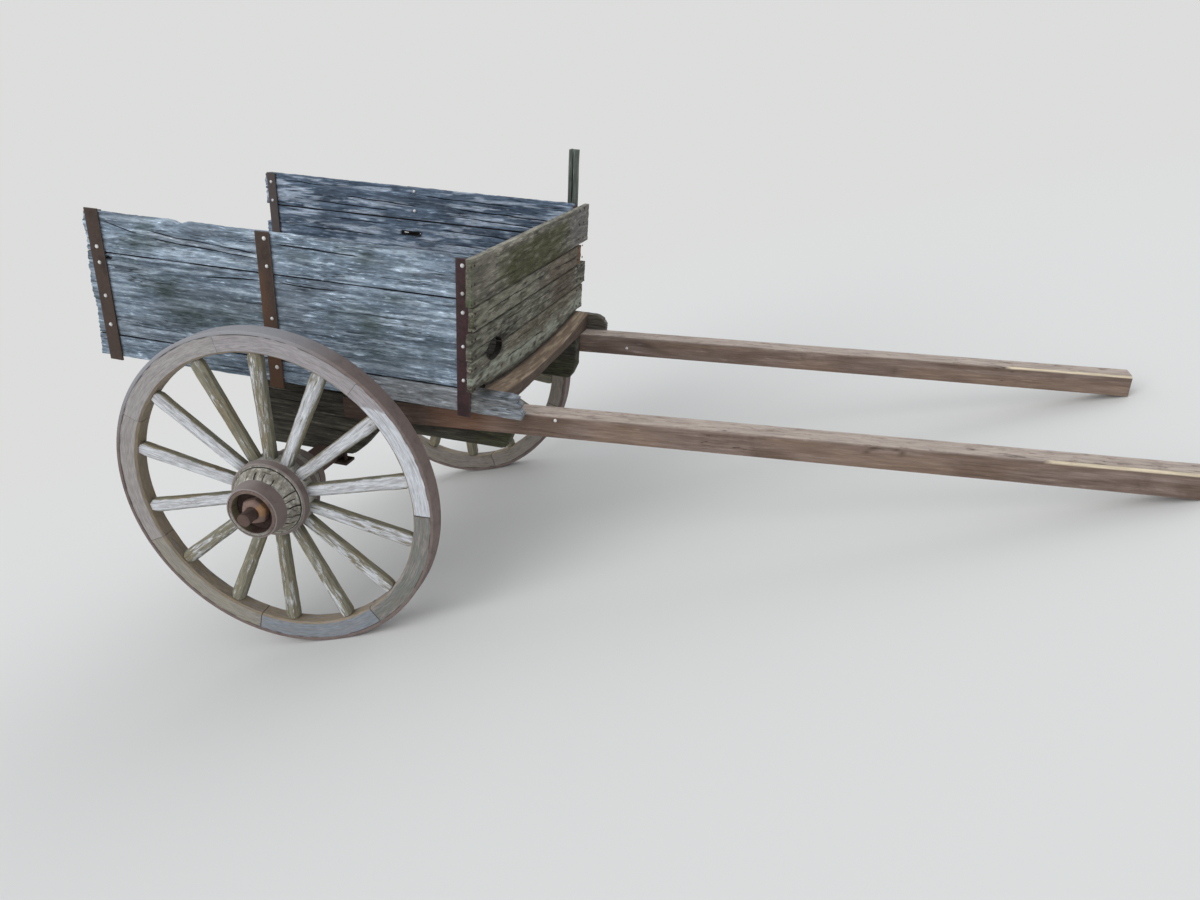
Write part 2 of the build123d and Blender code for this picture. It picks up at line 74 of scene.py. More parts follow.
# Rails, shafts and beam
rise, splay = radians(3.67), tan(radians(0.85))
shaft_width, shaft_height, shaft_reach, shaft_tail = 86.0, 78.0, 2190.0, 488.0
grip_length, grip_across, grip_down, grip_run = 430.0, 15.0, 7.0, 25.0
rail_thick, rail_rear, rail_front, rail_deep, rail_shallow = 70.0, -250.0, 731.0, 296.0, 172.0
beam_front, beam_top, beam_hollow, hollow_half = 733.0, 76.0, 28.0, 480.0
shaft_outer = inside - 0.5
rail_outer = shaft_outer - shaft_width - 0.2

# The cart stands nose down, on its wheels and its shaft tips
axle_height = wheel_radius * cos(camber) + tyre_width / 2 * sin(camber)
tip_x = corner_x + shaft_reach * cos(rise) + shaft_height * sin(rise) - axle_ahead
tip_z = bed_over_axle + shaft_reach * sin(rise) - shaft_height * cos(rise)
nose_down = atan2(tip_z, tip_x) + asin(axle_height / hypot(tip_x, tip_z))
reach_x = corner_x + shaft_reach * cos(rise) - axle_ahead
reach_z = bed_over_axle + shaft_reach * sin(rise)
front_reach = reach_x * cos(nose_down) + reach_z * sin(nose_down)
rear_reach = (-815.0 - axle_ahead) * cos(nose_down) + bed_over_axle * sin(nose_down)
axle_x = -(front_reach + rear_reach) / 2
head_skew = atan2(head_lead, 2 * half_width)
head_tilt = atan2(head_drop, 2 * half_width)


# Shapes

def noise(x, y, seed):
    """Smooth noise from 0 to 1, with one cell a unit."""
    x, y = np.broadcast_arrays(np.asarray(x, float), np.asarray(y, float))
    i, j = np.floor(x), np.floor(y)
    u, v = x - i, y - j
    u, v = u * u * (3 - 2 * u), v * v * (3 - 2 * v)

    def corner(a, b):
        h = np.sin(a * 127.1 + b * 311.7 + seed * 74.7) * 43758.5453
        return h - np.floor(h)

    low = corner(i, j) * (1 - u) + corner(i + 1, j) * u
    high = corner(i, j + 1) * (1 - u) + corner(i + 1, j + 1) * u
    return low * (1 - v) + high * v


def ramp(x, low, high):
    """Rises smoothly from 0 at one value to 1 at another."""
    t = np.clip((np.asarray(x, float) - low) / (high - low), 0, 1)
    return t * t * (3 - 2 * t)


def blot(x, x0, wide, z=0.0, z0=0.0, high=1.0):
    """A soft patch, 1 in its middle and 0.37 at its half width or at its half height."""
    return np.exp(-(((x - x0) / wide) ** 2 + ((z - z0) / high) ** 2))


def within(x, low, high):
    """How far a value lies inside two limits."""
    return np.minimum(x - low, high - x)


def to_edge(*depths):
    """The distance to the nearest edge, from the depths inside three pairs of faces."""
    return np.sort(np.stack(depths, 1), 1)[:, 1]


def lines(start, end, step, edge, extra=()):
    """Grid lines across a timber, closer together at its rounded edges and at its splits."""
    count = max(2, round((end - start - 2 * edge) / step) + 1)
    base = np.linspace(start + edge, end - edge, count)
    base = np.concatenate([[start, start + edge * 0.4], base, [end - edge * 0.4, end]])
    extra = np.array(sorted(extra), float)
    if len(extra):
        near = np.abs(base[:, None] - extra[None]).min(1) < 1.0
        near[[0, -1]] = False
        base = np.concatenate([base[~near], extra])
    return np.unique(base)


def block(xs, ys, zs, edge):
    """A block's skin: its points, the directions out of it and its four-sided faces."""
    def face(axis, end):
        return tuple(end if a == axis else slice(None) for a in range(3))

    shell = np.zeros((len(xs), len(ys), len(zs)), bool)
    for axis in range(3):
        for end in (0, -1):
            shell[face(axis, end)] = True
    index = np.full(shell.shape, -1)
    index[shell] = np.arange(shell.sum())
    i, j, k = np.nonzero(shell)
    p = np.stack([xs[i], ys[j], zs[k]], 1)
    low = np.array([xs[0], ys[0], zs[0]]) + edge
    high = np.array([xs[-1], ys[-1], zs[-1]]) - edge
    core = np.clip(p, low, high)
    out = p - core
    out /= np.linalg.norm(out, axis=1)[:, None]
    quads = []
    for axis, turn in ((0, True), (1, False), (2, True)):
        for end, keep in ((-1, turn), (0, not turn)):
            g = index[face(axis, end)]
            q = np.stack([g[:-1, :-1], g[1:, :-1], g[1:, 1:], g[:-1, 1:]], -1).reshape(-1, 4)
            quads.append(q if keep else q[:, ::-1])
    return core + out * edge, out, np.concatenate(quads)


def new_skin(p, quads, grain, crack, edge, tint, out=None):
    """A skin with what its finish reads at each point: the place in the grain in metres, how cracked, how
    near an edge and how light it is, three stains, and one more colour with its share."""
    return {"p": p, "out": out, "quads": quads, "grain": grain,
            "marks": np.stack(np.broadcast_arrays(crack, edge, tint), 1),
            "stain": np.zeros((len(p), 3)), "coat": np.zeros((len(p), 4))}


def split_path(x, line, force, seed, number):
    """Where one split runs across a timber at each x, and how open it is there."""
    points = [point for piece in line for point in piece]
    wander = (noise(x / 70, 0, seed + 5 * number) - 0.5) * 4
    wander += (noise(x / 11, 0, seed + 7 * number) - 0.5) * 1.3
    open_by = np.zeros(len(x))
    for piece in line:
        reach = within(x, piece[0][0], piece[-1][0])
        open_by = np.maximum(open_by, np.clip(reach / 45, 0, 1) ** 0.6 * (reach > 0))
    open_by *= (0.65 + 0.5 * noise(x / 60, 0, seed + number + 31)) * force
    return np.interp(x, [q[0] for q in points], [q[1] for q in points]) + wander, open_by


def timber(x0, x1, thick, z0, z1, along, across, seed, edge=4.0, foot=None, top=None, rear=None,
           front=None, splits=(), pits=(), rough=1.0, tint=0.5, extra=(), layers=4):
    """A weathered timber: x runs along its grain, y through it and z across it. Its splits are real
    grooves, each a strength and its pieces, and its pits are x, z, half width, half height and depth."""
    knots = [z0] + [np.mean([z for piece in line for x, z in piece]) for force, line in splits] + [z1]
    near_split = [k + d for k in knots[1:-1] for d in (-3.4, -1.3, 0.0, 1.3, 3.4)]
    round_off = min(edge, thick * 0.4)
    p, out, quads = block(lines(x0, x1, along, edge, extra), lines(0, thick, thick / layers, round_off),
                          lines(z0, z1, across, edge, near_split), round_off)
    x, y, z = p.T.copy()
    flat = z.copy()
    crack = np.zeros(len(p))
    curves = [np.full(len(p), z0) if foot is None else foot(x)]
    for number, (force, line) in enumerate(splits):
        path, open_by = split_path(x, line, force, seed, number)
        curves.append(path)
        crack = np.maximum(crack, open_by * blot(flat, knots[number + 1], 1.9))
    curves.append(np.full(len(p), z1) if top is None else top(x))
    for k in range(len(knots) - 1):
        part = (flat >= knots[k]) & (flat <= knots[k + 1])
        t = ((flat - knots[k]) / (knots[k + 1] - knots[k]))[part]
        z[part] = curves[k][part] * (1 - t) + curves[k + 1][part] * t
    share = (x - x0) / (x1 - x0)
    if rear is not None:
        x += (rear(z) - x0) * (1 - share)
    if front is not None:
        x += (front(z) - x1) * share
    apart = to_edge(within(p[:, 0], x0, x1), within(y, 0, thick), within(flat, z0, z1))
    ridges = noise(x / 190, z / 7.5 + y / 9, seed) * 1.1 + noise(x / 70, z / 3.6 + y / 5, seed + 2) * 0.5
    waves = noise(x / 310, z / 90 + y / 60, seed + 3) * 1.3
    worn = np.exp(-apart / 5) * noise(x / 38, z / 20 + y / 11, seed + 4) * 2.6
    on_face = np.abs(out[:, 1]) > 0.3
    groove = crack * 6.5 * on_face
    for pit_x, pit_z, wide, high, deep in pits:
        pit = np.exp(-((((x - pit_x) / wide) ** 2 + ((z - pit_z) / high) ** 2) ** 2))
        groove = np.maximum(groove, pit * deep * on_face)
        crack = np.maximum(crack, pit)
    seam = np.where(np.abs(out[:, 2]) > 0.8, 0.25, 1.0)
    depth = rough * (ridges + waves + worn) * seam + np.minimum(groove, thick * 0.4)
    rest = np.stack([x, y, z], 1)
    grain = rest * mm + np.array([seed * 1.37, seed * 0.41, seed * 0.73]) % 7
    return new_skin(rest - out * depth[:, None], quads, grain, crack, np.exp(-apart / 4.5), tint, out)


def plate(x0, x1, thick, z0, z1, seed):
    """A forged flat bar, a little wavy, with nibbled edges and rust pits."""
    step, edge = 9.0, 1.6
    p, out, quads = block(lines(x0, x1, step, edge), lines(0, thick, thick / 2, edge),
                          lines(z0, z1, step, edge), edge)
    x, y, z = p.T
    nibbled = (np.abs(out[:, 1]) < 0.7) * noise(x / 19, z / 19 + y / 30, seed + 1) * 1.4
    q = p - out * (noise(x / 14, z / 14, seed) * 0.5 + nibbled)[:, None]
    q[:, 1] += (noise(x / 90, z / 110, seed + 2) - 0.5) * 1.6 * (y > thick / 2)
    apart = to_edge(within(x, x0, x1), within(y, 0, thick), within(z, z0, z1))
    return new_skin(q, quads, p * mm + seed * 0.31, 0.0, np.exp(-apart / 2.5), 0.5)


def turned(outline, segments, step, bevel=1.2, relief=None, seed=0, tint=0.5):
    """A ring turned from a closed outline of radius and distance outwards. Its points are angle, radius and
    distance."""
    corners = np.array(outline, float)
    points = []
    for here, after in zip(corners, np.roll(corners, -1, 0)):
        long = np.linalg.norm(after - here)
        cut = min(bevel, long / 3)
        for t in np.linspace(cut / long, 1 - cut / long, max(2, round(long / step) + 1)):
            points.append(here + (after - here) * t)
    points = np.array(points)
    ahead = np.roll(points, -1, 0) - np.roll(points, 1, 0)
    normal = np.stack([ahead[:, 1], -ahead[:, 0]], 1) / np.linalg.norm(ahead, axis=1)[:, None]
    following = np.roll(points, -1, 0)
    normal *= np.sign(np.sum(points[:, 0] * following[:, 1] - following[:, 0] * points[:, 1]))
    a = np.repeat(np.arange(segments) * 2 * pi / segments, len(points))
    r, w = np.tile(points, (segments, 1)).T
    nr, nw = np.tile(normal, (segments, 1)).T
    depth, crack = relief(a, r, w, nr) if relief else (0.0, 0.0)
    i = np.arange(segments)[:, None] * len(points)
    j = np.arange(len(points))[None]
    i2 = (i + len(points)) % len(a)
    j2 = (j + 1) % len(points)
    quads = np.stack([i + j, i2 + j, i2 + j2, i + j2], -1).reshape(-1, 4)
    grain = np.stack([w, r * np.cos(a), r * np.sin(a)], 1) * mm + seed * 0.77
    near = np.min([np.hypot(r - c[0], w - c[1]) for c in corners], 0)
    p = np.stack([a, r - nr * depth, w - nw * depth], 1)
    return new_skin(p, quads, grain, crack, np.exp(-near / 3), tint)


def opened(skin, x0, x1, z0, z1):
    """Cuts a slot through a board where both faces have grid cells inside it, and gives the slot its
    walls."""
    p, quads = skin["p"], skin["quads"]
    middle = p[quads].mean(1)
    facing = np.abs(skin["out"][quads][:, :, 1]).min(1) > 0.9
    cut = facing & (within(middle[:, 0], x0, x1) > 0) & (within(middle[:, 2], z0, z1) > 0)
    inner = middle[:, 1] < board_thick / 2
    rims = []
    for lost in (quads[cut & inner], quads[cut & ~inner]):
        edges = np.concatenate([lost[:, [k, (k + 1) % 4]] for k in range(4)])
        both = {tuple(e) for e in edges}
        rims.append([e for e in both if e[::-1] not in both])
    far_points = np.array([a for a, b in rims[1]])
    walls = []
    for a, b in rims[0]:
        c, d = (far_points[np.argmin(np.hypot(*(p[far_points] - p[k])[:, [0, 2]].T))] for k in (a, b))
        walls.append((a, b, d, c))
    skin["quads"] = np.concatenate([quads[~cut], np.array(walls)])


# What a skin tells its finish

def painted(skin, code, share=1.0):
    """Lays one more colour over a skin, with the share of it at each point."""
    coat = skin["coat"]
    share = np.broadcast_to(np.clip(share, 0, 1), len(coat))[:, None]
    left = coat[:, 3:] * (1 - share)
    total = np.maximum(left + share, 1e-6)
    coat[:, :3] = (coat[:, :3] * left + np.array(colour(code)[:3]) * share) / total
    coat[:, 3:] = np.maximum(coat[:, 3:], share)


def stained(skin, **shares):
    """Says how much moss, dust, rot or bare wood shows at each point. Moss is on wood and dust on iron, so
    they share a place. On the tyre and the nave bands the dust share also lays painted light on their tops."""
    for kind, share in shares.items():
        skin["stain"][:, {"moss": 0, "dust": 0, "rot": 1, "bare": 2}[kind]] = share


def darkened(skin, share):
    """Shows dark lines where there is no real groove."""
    skin["marks"][:, 0] = np.maximum(skin["marks"][:, 0], share)


# Places

def in_bed(p):
    """Bed millimetres (forward, left, up from the sides' bottom edge) to metres in the frame."""
    x, y, z = p[:, 0] - axle_ahead, p[:, 1], p[:, 2] + bed_over_axle
    c, s = cos(nose_down), sin(nose_down)
    return np.stack([axle_x + x * c + z * s, y, axle_height - x * s + z * c], 1) * mm


def on_hub(side):
    """A wheel's centre and its directions outwards, across and up, as seen from outside."""
    out = np.array([sin(gather) * cos(camber), side * cos(gather) * cos(camber), -sin(camber)])
    across = np.array([-side * cos(gather), sin(gather), 0.0])
    return np.array([axle_x, side * track_half, axle_height]), out, across, np.cross(out, across)


def round_axle(p, side):
    """Angle, radius and distance outwards to metres in the frame."""
    centre, out, across, up = on_hub(side)
    a, r, w = p.T[:, :, None]
    return (centre + out * w + (up * np.cos(a) + across * np.sin(a)) * r) * mm


def hollow(y):
    """How far the front beam's top is worn down, along an arc between the shafts."""
    radius = (hollow_half ** 2 + beam_hollow ** 2) / (2 * beam_hollow)
    return np.clip(np.sqrt(np.clip(radius ** 2 - y ** 2, 0, None)) - (radius - beam_hollow), 0, None)


def head_rear(y):
    """Where the askew head board's rear face stands."""
    return corner_x + strap_thick + (y + half_width) * tan(head_skew)


def iron_front(side):
    """Where a corner iron ends, just behind the head board."""
    outer = half_width + strap_thick
    return min(head_rear(side * (outer - iron_leg)), head_rear(side * outer))


def on_side(skin, side, outer):
    """Stands a timber or a strap along a side, its y = 0 face that far from the middle of the cart."""
    thick = skin["p"][:, 1]
    skin["p"] = in_bed(np.stack([skin["p"][:, 0], side * (outer + thick), skin["p"][:, 2]], 1))
    return skin


def placed(name, data):
    """A new object in the scene."""
    thing = bpy.data.objects.new(name, data)
    bpy.context.scene.collection.objects.link(thing)
    return thing


def finished(node, made, skins, finish, body="cart", crease=40):
    """One object from its skins, riding on a body. It stands for a CAD node and is named for it and for how
    it is made."""
    name = f"{node}_{made}"
    points = np.concatenate([s["p"] for s in skins])
    starts = np.cumsum([0] + [len(s["p"]) for s in skins[:-1]])
    faces = []
    for start, skin in zip(starts, skins):
        p, q = skin["p"], skin["quads"]
        normals = sum(np.cross(p[q[:, k]], p[q[:, k + 1]]) for k in (1, 2))
        volume = np.einsum("ij,ij->", p[q[:, 0]], normals)
        faces.append((q if volume > 0 else q[:, ::-1]) + start)
    mesh = bpy.data.meshes.new(name)
    mesh.from_pydata(points.tolist(), [], np.concatenate(faces).tolist())
    for layer in ("grain", "marks", "stain", "coat"):
        kind, key = ("FLOAT_COLOR", "color") if layer == "coat" else ("FLOAT_VECTOR", "vector")
        values = np.concatenate([s[layer] for s in skins])
        mesh.attributes.new(layer, kind, "POINT").data.foreach_set(key, values.ravel())
    mesh.shade_smooth()
    mesh.set_sharp_from_angle(angle=radians(crease))
    mesh.materials.append(finish)
    piece = placed(name, mesh)
    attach(piece, body)
    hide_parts(node)


# Finishes

def colour(code):
    """An sRGB hex value as the linear colour that the shaders take."""
    parts = [int(code[i:i + 2], 16) / 255 for i in (1, 3, 5)]
    return [c / 12.92 if c <= 0.04045 else ((c + 0.055) / 1.055) ** 2.4 for c in parts] + [1.0]


def add(tree, kind, sockets=None, stops=(), **settings):
    """A node with its settings, the values or links of its sockets, and a colour ramp's stops. A node given
    for a socket is linked by its first output in use."""
    node = tree.nodes.new(kind)
    for key, value in settings.items():
        setattr(node, key, value)
    for key, value in (sockets or {}).items():
        if isinstance(value, bpy.types.Node):
            value = next(output for output in value.outputs if output.enabled)
        if isinstance(value, bpy.types.NodeSocket):
            tree.links.new(value, node.inputs[key])
        else:
            node.inputs[key].default_value = value
    for number, (place, code) in enumerate(stops):
        stop = node.color_ramp.elements[number] if number < 2 else node.color_ramp.elements.new(place)
        stop.position, stop.color = place, colour(code)
    return node


smooth = {"interpolation_type": "SMOOTHSTEP"}
colours = {"data_type": "RGBA"}
minus, product = {"operation": "SUBTRACT"}, {"operation": "MULTIPLY"}


def new_finish(name):
    """A material with its tree and its shader."""
    finish = bpy.data.materials.new(name)
    finish.use_nodes = True
    return finish, finish.node_tree, finish.node_tree.nodes["Principled BSDF"]


def told(tree, *names):
    """What a skin says at each point, as a node's outputs for each name."""
    found = [add(tree, "ShaderNodeAttribute", attribute_name=name).outputs for name in names]
    return [add(tree, "ShaderNodeSeparateXYZ", {0: outputs["Vector"]}).outputs if name in ("marks", "stain")
            else outputs for name, outputs in zip(names, found)]


def layered(tree, base, layers):
    """Lays colours over a base in turn. Each layer is its name, the pattern that it shows in, the values
    between which it comes in, its least and its most share, what else its share is multiplied by, and its
    colour."""
    shares = {}
    for name, pattern, low, high, least, most, also, over in layers:
        share = add(tree, "ShaderNodeMapRange", {0: pattern, 1: low, 2: high, 3: least, 4: most}, **smooth)
        if also is not None:
            share = add(tree, "ShaderNodeMath", {0: share, 1: also}, **product)
        over = colour(over) if isinstance(over, str) else over
        base = add(tree, "ShaderNodeMix", {0: share, 6: base, 7: over}, **colours)
        shares[name] = share
    return base, shares


def toned(tree, base, tones):
    """Darkens and lightens a colour by patterns, each with the values that it runs between and its least
    and its most tone."""
    shade = None
    for pattern, low, high, least, most, style in tones:
        tone = add(tree, "ShaderNodeMapRange", {0: pattern, 1: low, 2: high, 3: least, 4: most}, **style)
        shade = tone if shade is None else add(tree, "ShaderNodeMath", {0: shade, 1: tone}, **product)
    grey = add(tree, "ShaderNodeCombineColor", {0: shade, 1: shade, 2: shade})
    return add(tree, "ShaderNodeMix", {0: 1.0, 6: base, 7: grey}, blend_type="MULTIPLY", **colours)


def surfaced(tree, shader, base, dull, height, strength, deep, constants):
    """Gives a shader its colour, its roughness by a pattern, its relief in metres and its constants."""
    pattern, low, high, least, most = dull
    rough = add(tree, "ShaderNodeMapRange", {0: pattern, 1: low, 2: high, 3: least, 4: most}, **smooth)
    bump = add(tree, "ShaderNodeBump", {"Strength": strength, "Distance": deep, "Height": height})
    for node, socket in ((base, "Base Color"), (rough, "Roughness"), (bump, "Normal")):
        tree.links.new(next(output for output in node.outputs if output.enabled), shader.inputs[socket])
    for socket, value in constants.items():
        shader.inputs[socket].default_value = value


def aged_wood(name, dark, mid, light, fibre, split, smudge, moss="#5f6244", rot="#2a2119", bare="#b9b2a8",
              fibre_share=0.5, smudge_share=0.4, checks=0.5, spread=0.5, relief=0.9, length=1.0):
    """Old wood in the open. The sun has greyed it and the rain has washed out its soft grain, so it shows
    pale raised fibres, dark drying checks along the grain and darker damp patches."""
    finish, tree, shader = new_finish(name)
    grain, marks, stain, laid = told(tree, "grain", "marks", "stain", "coat")
    crack, edge, tint = marks
    mossy, rotten, stripped = stain
    patterns = []
    for cells, detail, roughness, distortion in (
        # Bands of earlier and later wood, 20 to 60 mm wide and about 300 mm long
        ((3.4, 22, 46), 6.0, 0.62, 0.4),
        # Fibre bundles really 0.5 to 1 mm across, drawn 4 to 10 mm across so that they show
        ((9 / length, 74, 125), 6.0, 0.72, 0.2),
        ((20 / length, 260, 420), 3.0, 0.7, 0.0),
        # Flecks of moss, stripped wood and rot, 20 to 50 mm long
        ((18, 45, 60), 6.0, 0.75, 0.0),
        # Drying checks 0.5 to 2 mm wide, and the stretches that have them
        ((3.4, 45, 100), 3.0, 0.55, 0.25),
        ((4, 20, 20), 2.0, 0.6, 0.0),
    ):
        way = add(tree, "ShaderNodeMapping", {"Vector": grain["Vector"], "Scale": cells})
        patterns.append(add(tree, "ShaderNodeTexNoise", {"Vector": way, "Scale": 1.0, "Detail": detail,
                                                         "Roughness": roughness, "Distortion": distortion}))
    bands, streak, fine, fleck, gap, stretch = patterns
    # Damp patches 100 to 300 mm across
    place = add(tree, "ShaderNodeTexCoord").outputs["Object"]
    damp = add(tree, "ShaderNodeTexNoise", {"Vector": place, "Scale": 5.8, "Detail": 5.0, "Roughness": 0.65,
                                            "Distortion": 0.5})
    gap = add(tree, "ShaderNodeMath", {0: gap, 1: 0.5}, **minus)
    gap = add(tree, "ShaderNodeMath", {0: gap}, operation="ABSOLUTE")
    gap = add(tree, "ShaderNodeMapRange", {0: gap, 1: 0.004, 2: 0.016, 3: 1.0, 4: 0.0}, **smooth)
    base = add(tree, "ShaderNodeValToRGB", {0: bands}, ((0.32, dark), (0.68, light), (0.5, mid)))
    base, shares = layered(tree, base, (
        ("fibres", streak, 0.66 - 0.2 * fibre_share, 0.76 - 0.18 * fibre_share, 0.0, 0.85, None, fibre),
        ("damp", damp, 0.62 - 0.2 * smudge_share, 0.8 - 0.14 * smudge_share, 0.0, 0.65, None, smudge),
        ("moss", fleck, 0.32, 0.6, 0.0, 1.0, mossy, moss),
        ("bare wood", fleck, 0.28, 0.5, 0.0, 1.0, stripped, bare),
        ("rot", streak, 0.28, 0.55, 0.0, 1.0, rotten, rot),
        ("checks", stretch, 0.62 - 0.3 * checks, 0.7 - 0.2 * checks, 0.0, 0.85, gap, split),
        ("worn edges", edge, 0.25, 0.9, 0.0, 0.5, fine, light),
        ("laid colour", fleck, 0.2, 0.5, 0.55, 1.0, laid["Alpha"], laid["Color"]),
        ("cracks", crack, 0.12, 0.6, 0.0, 1.0, None, split),
    ))
    base = toned(tree, base, (
        (fine, 0.25, 0.75, 1 - 0.35 * spread, 1 + 0.25 * spread, smooth),
        (streak, 0.33, 0.67, 1 - 0.95 * spread, 1 + 0.85 * spread, {}),
        (tint, 0.0, 1.0, 0.55, 1.45, {}),
    ))
    height = add(tree, "ShaderNodeMath", {0: streak, 1: fine})
    height = add(tree, "ShaderNodeMath", {0: height, 1: shares["checks"]}, **minus)
    surfaced(tree, shader, base, (streak, 0.3, 0.7, 0.95, 0.74), height, relief, 0.0016,
             {"IOR": 1.5, "Specular IOR Level": 0.25})
    return finish


def coated_wood(name, bare, grey, soil, paint_soil, spread, coat_share=0.7, dust=0.6):
    """Wood under old brushed paint: the coat is chalky and matt, flakes off along the grain and is rubbed
    through to grey wood along the edges."""
    finish, tree, shader = new_finish(name)
    grain, (crack, edge, tint), stain, coat = told(tree, "grain", "marks", "stain", "coat")
    patterns = []
    for cells, detail, roughness, distortion in (
        # Paint flakes 10 to 40 mm long, fibres drawn 5 to 8 mm across and soiled patches of 60 mm
        ((11, 75, 75), 7.0, 0.75, 0.4),
        ((9, 120, 120), 5.0, 0.7, 0.0),
        ((30, 300, 300), 3.0, 0.6, 0.0),
        ((6, 18, 18), 4.0, 0.6, 0.0),
    ):
        way = add(tree, "ShaderNodeMapping", {"Vector": grain["Vector"], "Scale": cells})
        patterns.append(add(tree, "ShaderNodeTexNoise", {"Vector": way, "Scale": 1.0, "Detail": detail,
                                                         "Roughness": roughness, "Distortion": distortion}))
    flake, streak, fine, patch = patterns
    wood = add(tree, "ShaderNodeValToRGB", {0: streak}, ((0.4, grey), (0.6, bare)))
    wood = layered(tree, wood, [("soil", patch, 0.48, 0.66, 0.0, 0.7, None, soil)])[0]
    paint = layered(tree, coat["Color"], [("dust", streak, 0.45, 0.62, 0.0, dust, None, paint_soil)])[0]
    # More paint is left where the coat's alpha is high, and less at the edges
    left = add(tree, "ShaderNodeMath", {0: coat["Alpha"], 1: 0.55}, **product)
    rubbed = add(tree, "ShaderNodeMapRange", {0: edge, 1: 0.2, 2: 1.0, 3: 0.0, 4: 0.16}, **smooth)
    left = add(tree, "ShaderNodeMath", {0: left, 1: rubbed}, **minus)
    need = add(tree, "ShaderNodeMath", {0: 0.78 - 0.1 * coat_share, 1: left}, **minus)
    over_by = add(tree, "ShaderNodeMath", {0: flake, 1: need}, **minus)
    base, shares = layered(tree, wood, (
        ("paint", over_by, -0.035, 0.055, 0.0, 1.0, None, paint),
        ("cracks", crack, 0.15, 0.7, 0.0, 1.0, None, "#2d2722"),
    ))
    base = add(tree, "ShaderNodeMix", {0: stain[0], 6: base, 7: colour("#3b3f2c")}, **colours)
    base = toned(tree, base, (
        (fine, 0.25, 0.75, 1 - 0.25 * spread, 1 + 0.22 * spread, smooth),
        (tint, 0.0, 1.0, 0.6, 1.4, {}),
    ))
    thick = add(tree, "ShaderNodeMath", {0: shares["paint"], 1: 0.35}, **product)
    height = add(tree, "ShaderNodeMath", {0: streak, 1: thick})
    surfaced(tree, shader, base, (shares["paint"], 0.0, 1.0, 0.9, 0.64), height, 0.5, 0.0016,
             {"IOR": 1.5, "Specular IOR Level": 0.3})
    return finish


def rusted(name, dark, brown, orange, rubbed, metallic=0.25):
    """Forged or cast iron that has rusted for years: matt brown scale with orange bloom, small pits, and
    edges rubbed to a smoother, paler brown."""
    finish, tree, shader = new_finish(name)
    place = add(tree, "ShaderNodeTexCoord").outputs["Object"]
    marks, stain, laid = told(tree, "marks", "stain", "coat")
    patterns = []
    for cells, detail, roughness, distortion in (
        # Blooms 30 to 80 mm across
        (17.0, 5.0, 0.65, 0.4),
        # Scale 5 to 10 mm across
        (95.0, 5.0, 0.7, 0.0),
        # Pits really 0.5 mm across, drawn at 2 mm
        (420.0, 3.0, 0.6, 0.0),
    ):
        patterns.append(add(tree, "ShaderNodeTexNoise", {"Vector": place, "Scale": cells, "Detail": detail,
                                                         "Roughness": roughness, "Distortion": distortion}))
    bloom, scale, pits = patterns
    base = add(tree, "ShaderNodeValToRGB", {0: bloom}, ((0.34, dark), (0.52, brown)))
    base = layered(tree, base, (
        ("orange bloom", scale, 0.52, 0.72, 0.0, 0.6, None, orange),
        ("pits", pits, 0.55, 0.72, 0.0, 0.7, None, dark),
        ("rubbed edges", marks[1], 0.3, 0.95, 0.0, 0.7, None, rubbed),
        ("dust", scale, 0.2, 0.55, 0.55, 1.0, stain[0], laid["Color"]),
    ))[0]
    height = add(tree, "ShaderNodeMath", {0: scale, 1: pits})
    surfaced(tree, shader, base, (scale, 0.3, 0.7, 0.62, 0.9), height, 0.6, 0.0012, {"Metallic": metallic})
    return finish


# Boards sawn from a softwood log, bare and silvered by the sun: grey, with painted blue sky light, raised
# fibres and dark checks
plank_finish = aged_wood(
    "sun_greyed_sawn_plank", "#505c69", "#707e8c", "#919eac", "#b2bfcc", "#1f2124", "#455150", moss="#3c4644",
    rot="#3a3a3c", bare="#b6c4d1", fibre_share=0.45, smudge_share=0.6, checks=0.55, spread=0.6, length=0.45)
# The same boards' inner faces: a darker, bluer copy that is painted shade, scoured by loads to paler torn
# patches
shaded_plank_finish = aged_wood(
    "shaded_sawn_plank", "#3b4759", "#5b6a7c", "#76879b", "#9aabbd", "#15171b", "#36414f", moss="#3a423c",
    rot="#2e2f36", bare="#a3afbf", fibre_share=0.45, smudge_share=0.6, checks=0.6, spread=0.55, length=0.6)
# Sawn boards that stay damp: brown-grey wood under green moss, softened by rot
mossy_finish = aged_wood(
    "mossy_sawn_plank", "#45423a", "#605d53", "#7c796e", "#9a9789", "#1c1813", "#3c382f", moss="#43462e",
    rot="#241d17", bare="#a6a294", smudge_share=0.6, checks=0.6, spread=0.4)
# Floor boards, trodden smooth and ground full of brown soil
floor_finish = aged_wood(
    "trodden_floor_plank", "#332e29", "#4a443b", "#5f584d", "#736b60", "#1b1713", "#2b2621",
    fibre_share=0.4, smudge_share=0.5)
# Bearers under the box, rough from the saw, dark partly because no sun has bleached them and partly as
# painted shade under the box
beam_finish = aged_wood(
    "rough_sawn_old_beam", "#302d27", "#45423a", "#5a574c", "#6f6b5f", "#181512", "#2b2a25", moss="#474a34",
    fibre_share=0.35, smudge_share=0.5)
# Long timber planed by hand, close grained and brown, bleached on its top
shaft_finish = aged_wood(
    "planed_pole_timber", "#63544b", "#79685f", "#8c7d75", "#9a8c84", "#2a211c", "#56483f", rot="#33261f",
    bare="#ada096", fibre_share=0.3, smudge_share=0.3, checks=0.1, spread=0.25, relief=0.4)
# A stake cleft from a log, greenish grey, with torn fibres
stake_finish = aged_wood("split_stake", "#3e4440", "#565c56", "#6d736c", "#828881", "#22231f", "#3f4640")
# The hub's turned elm, whose tangled grain dries pale and breaks into short blocks
nave_finish = aged_wood(
    "turned_nave_elm", "#757067", "#918d84", "#a8a59e", "#bbb8b0", "#2f2922", "#67645a", rot="#2e2620",
    bare="#c3c0b6", smudge_share=0.3, spread=0.4)
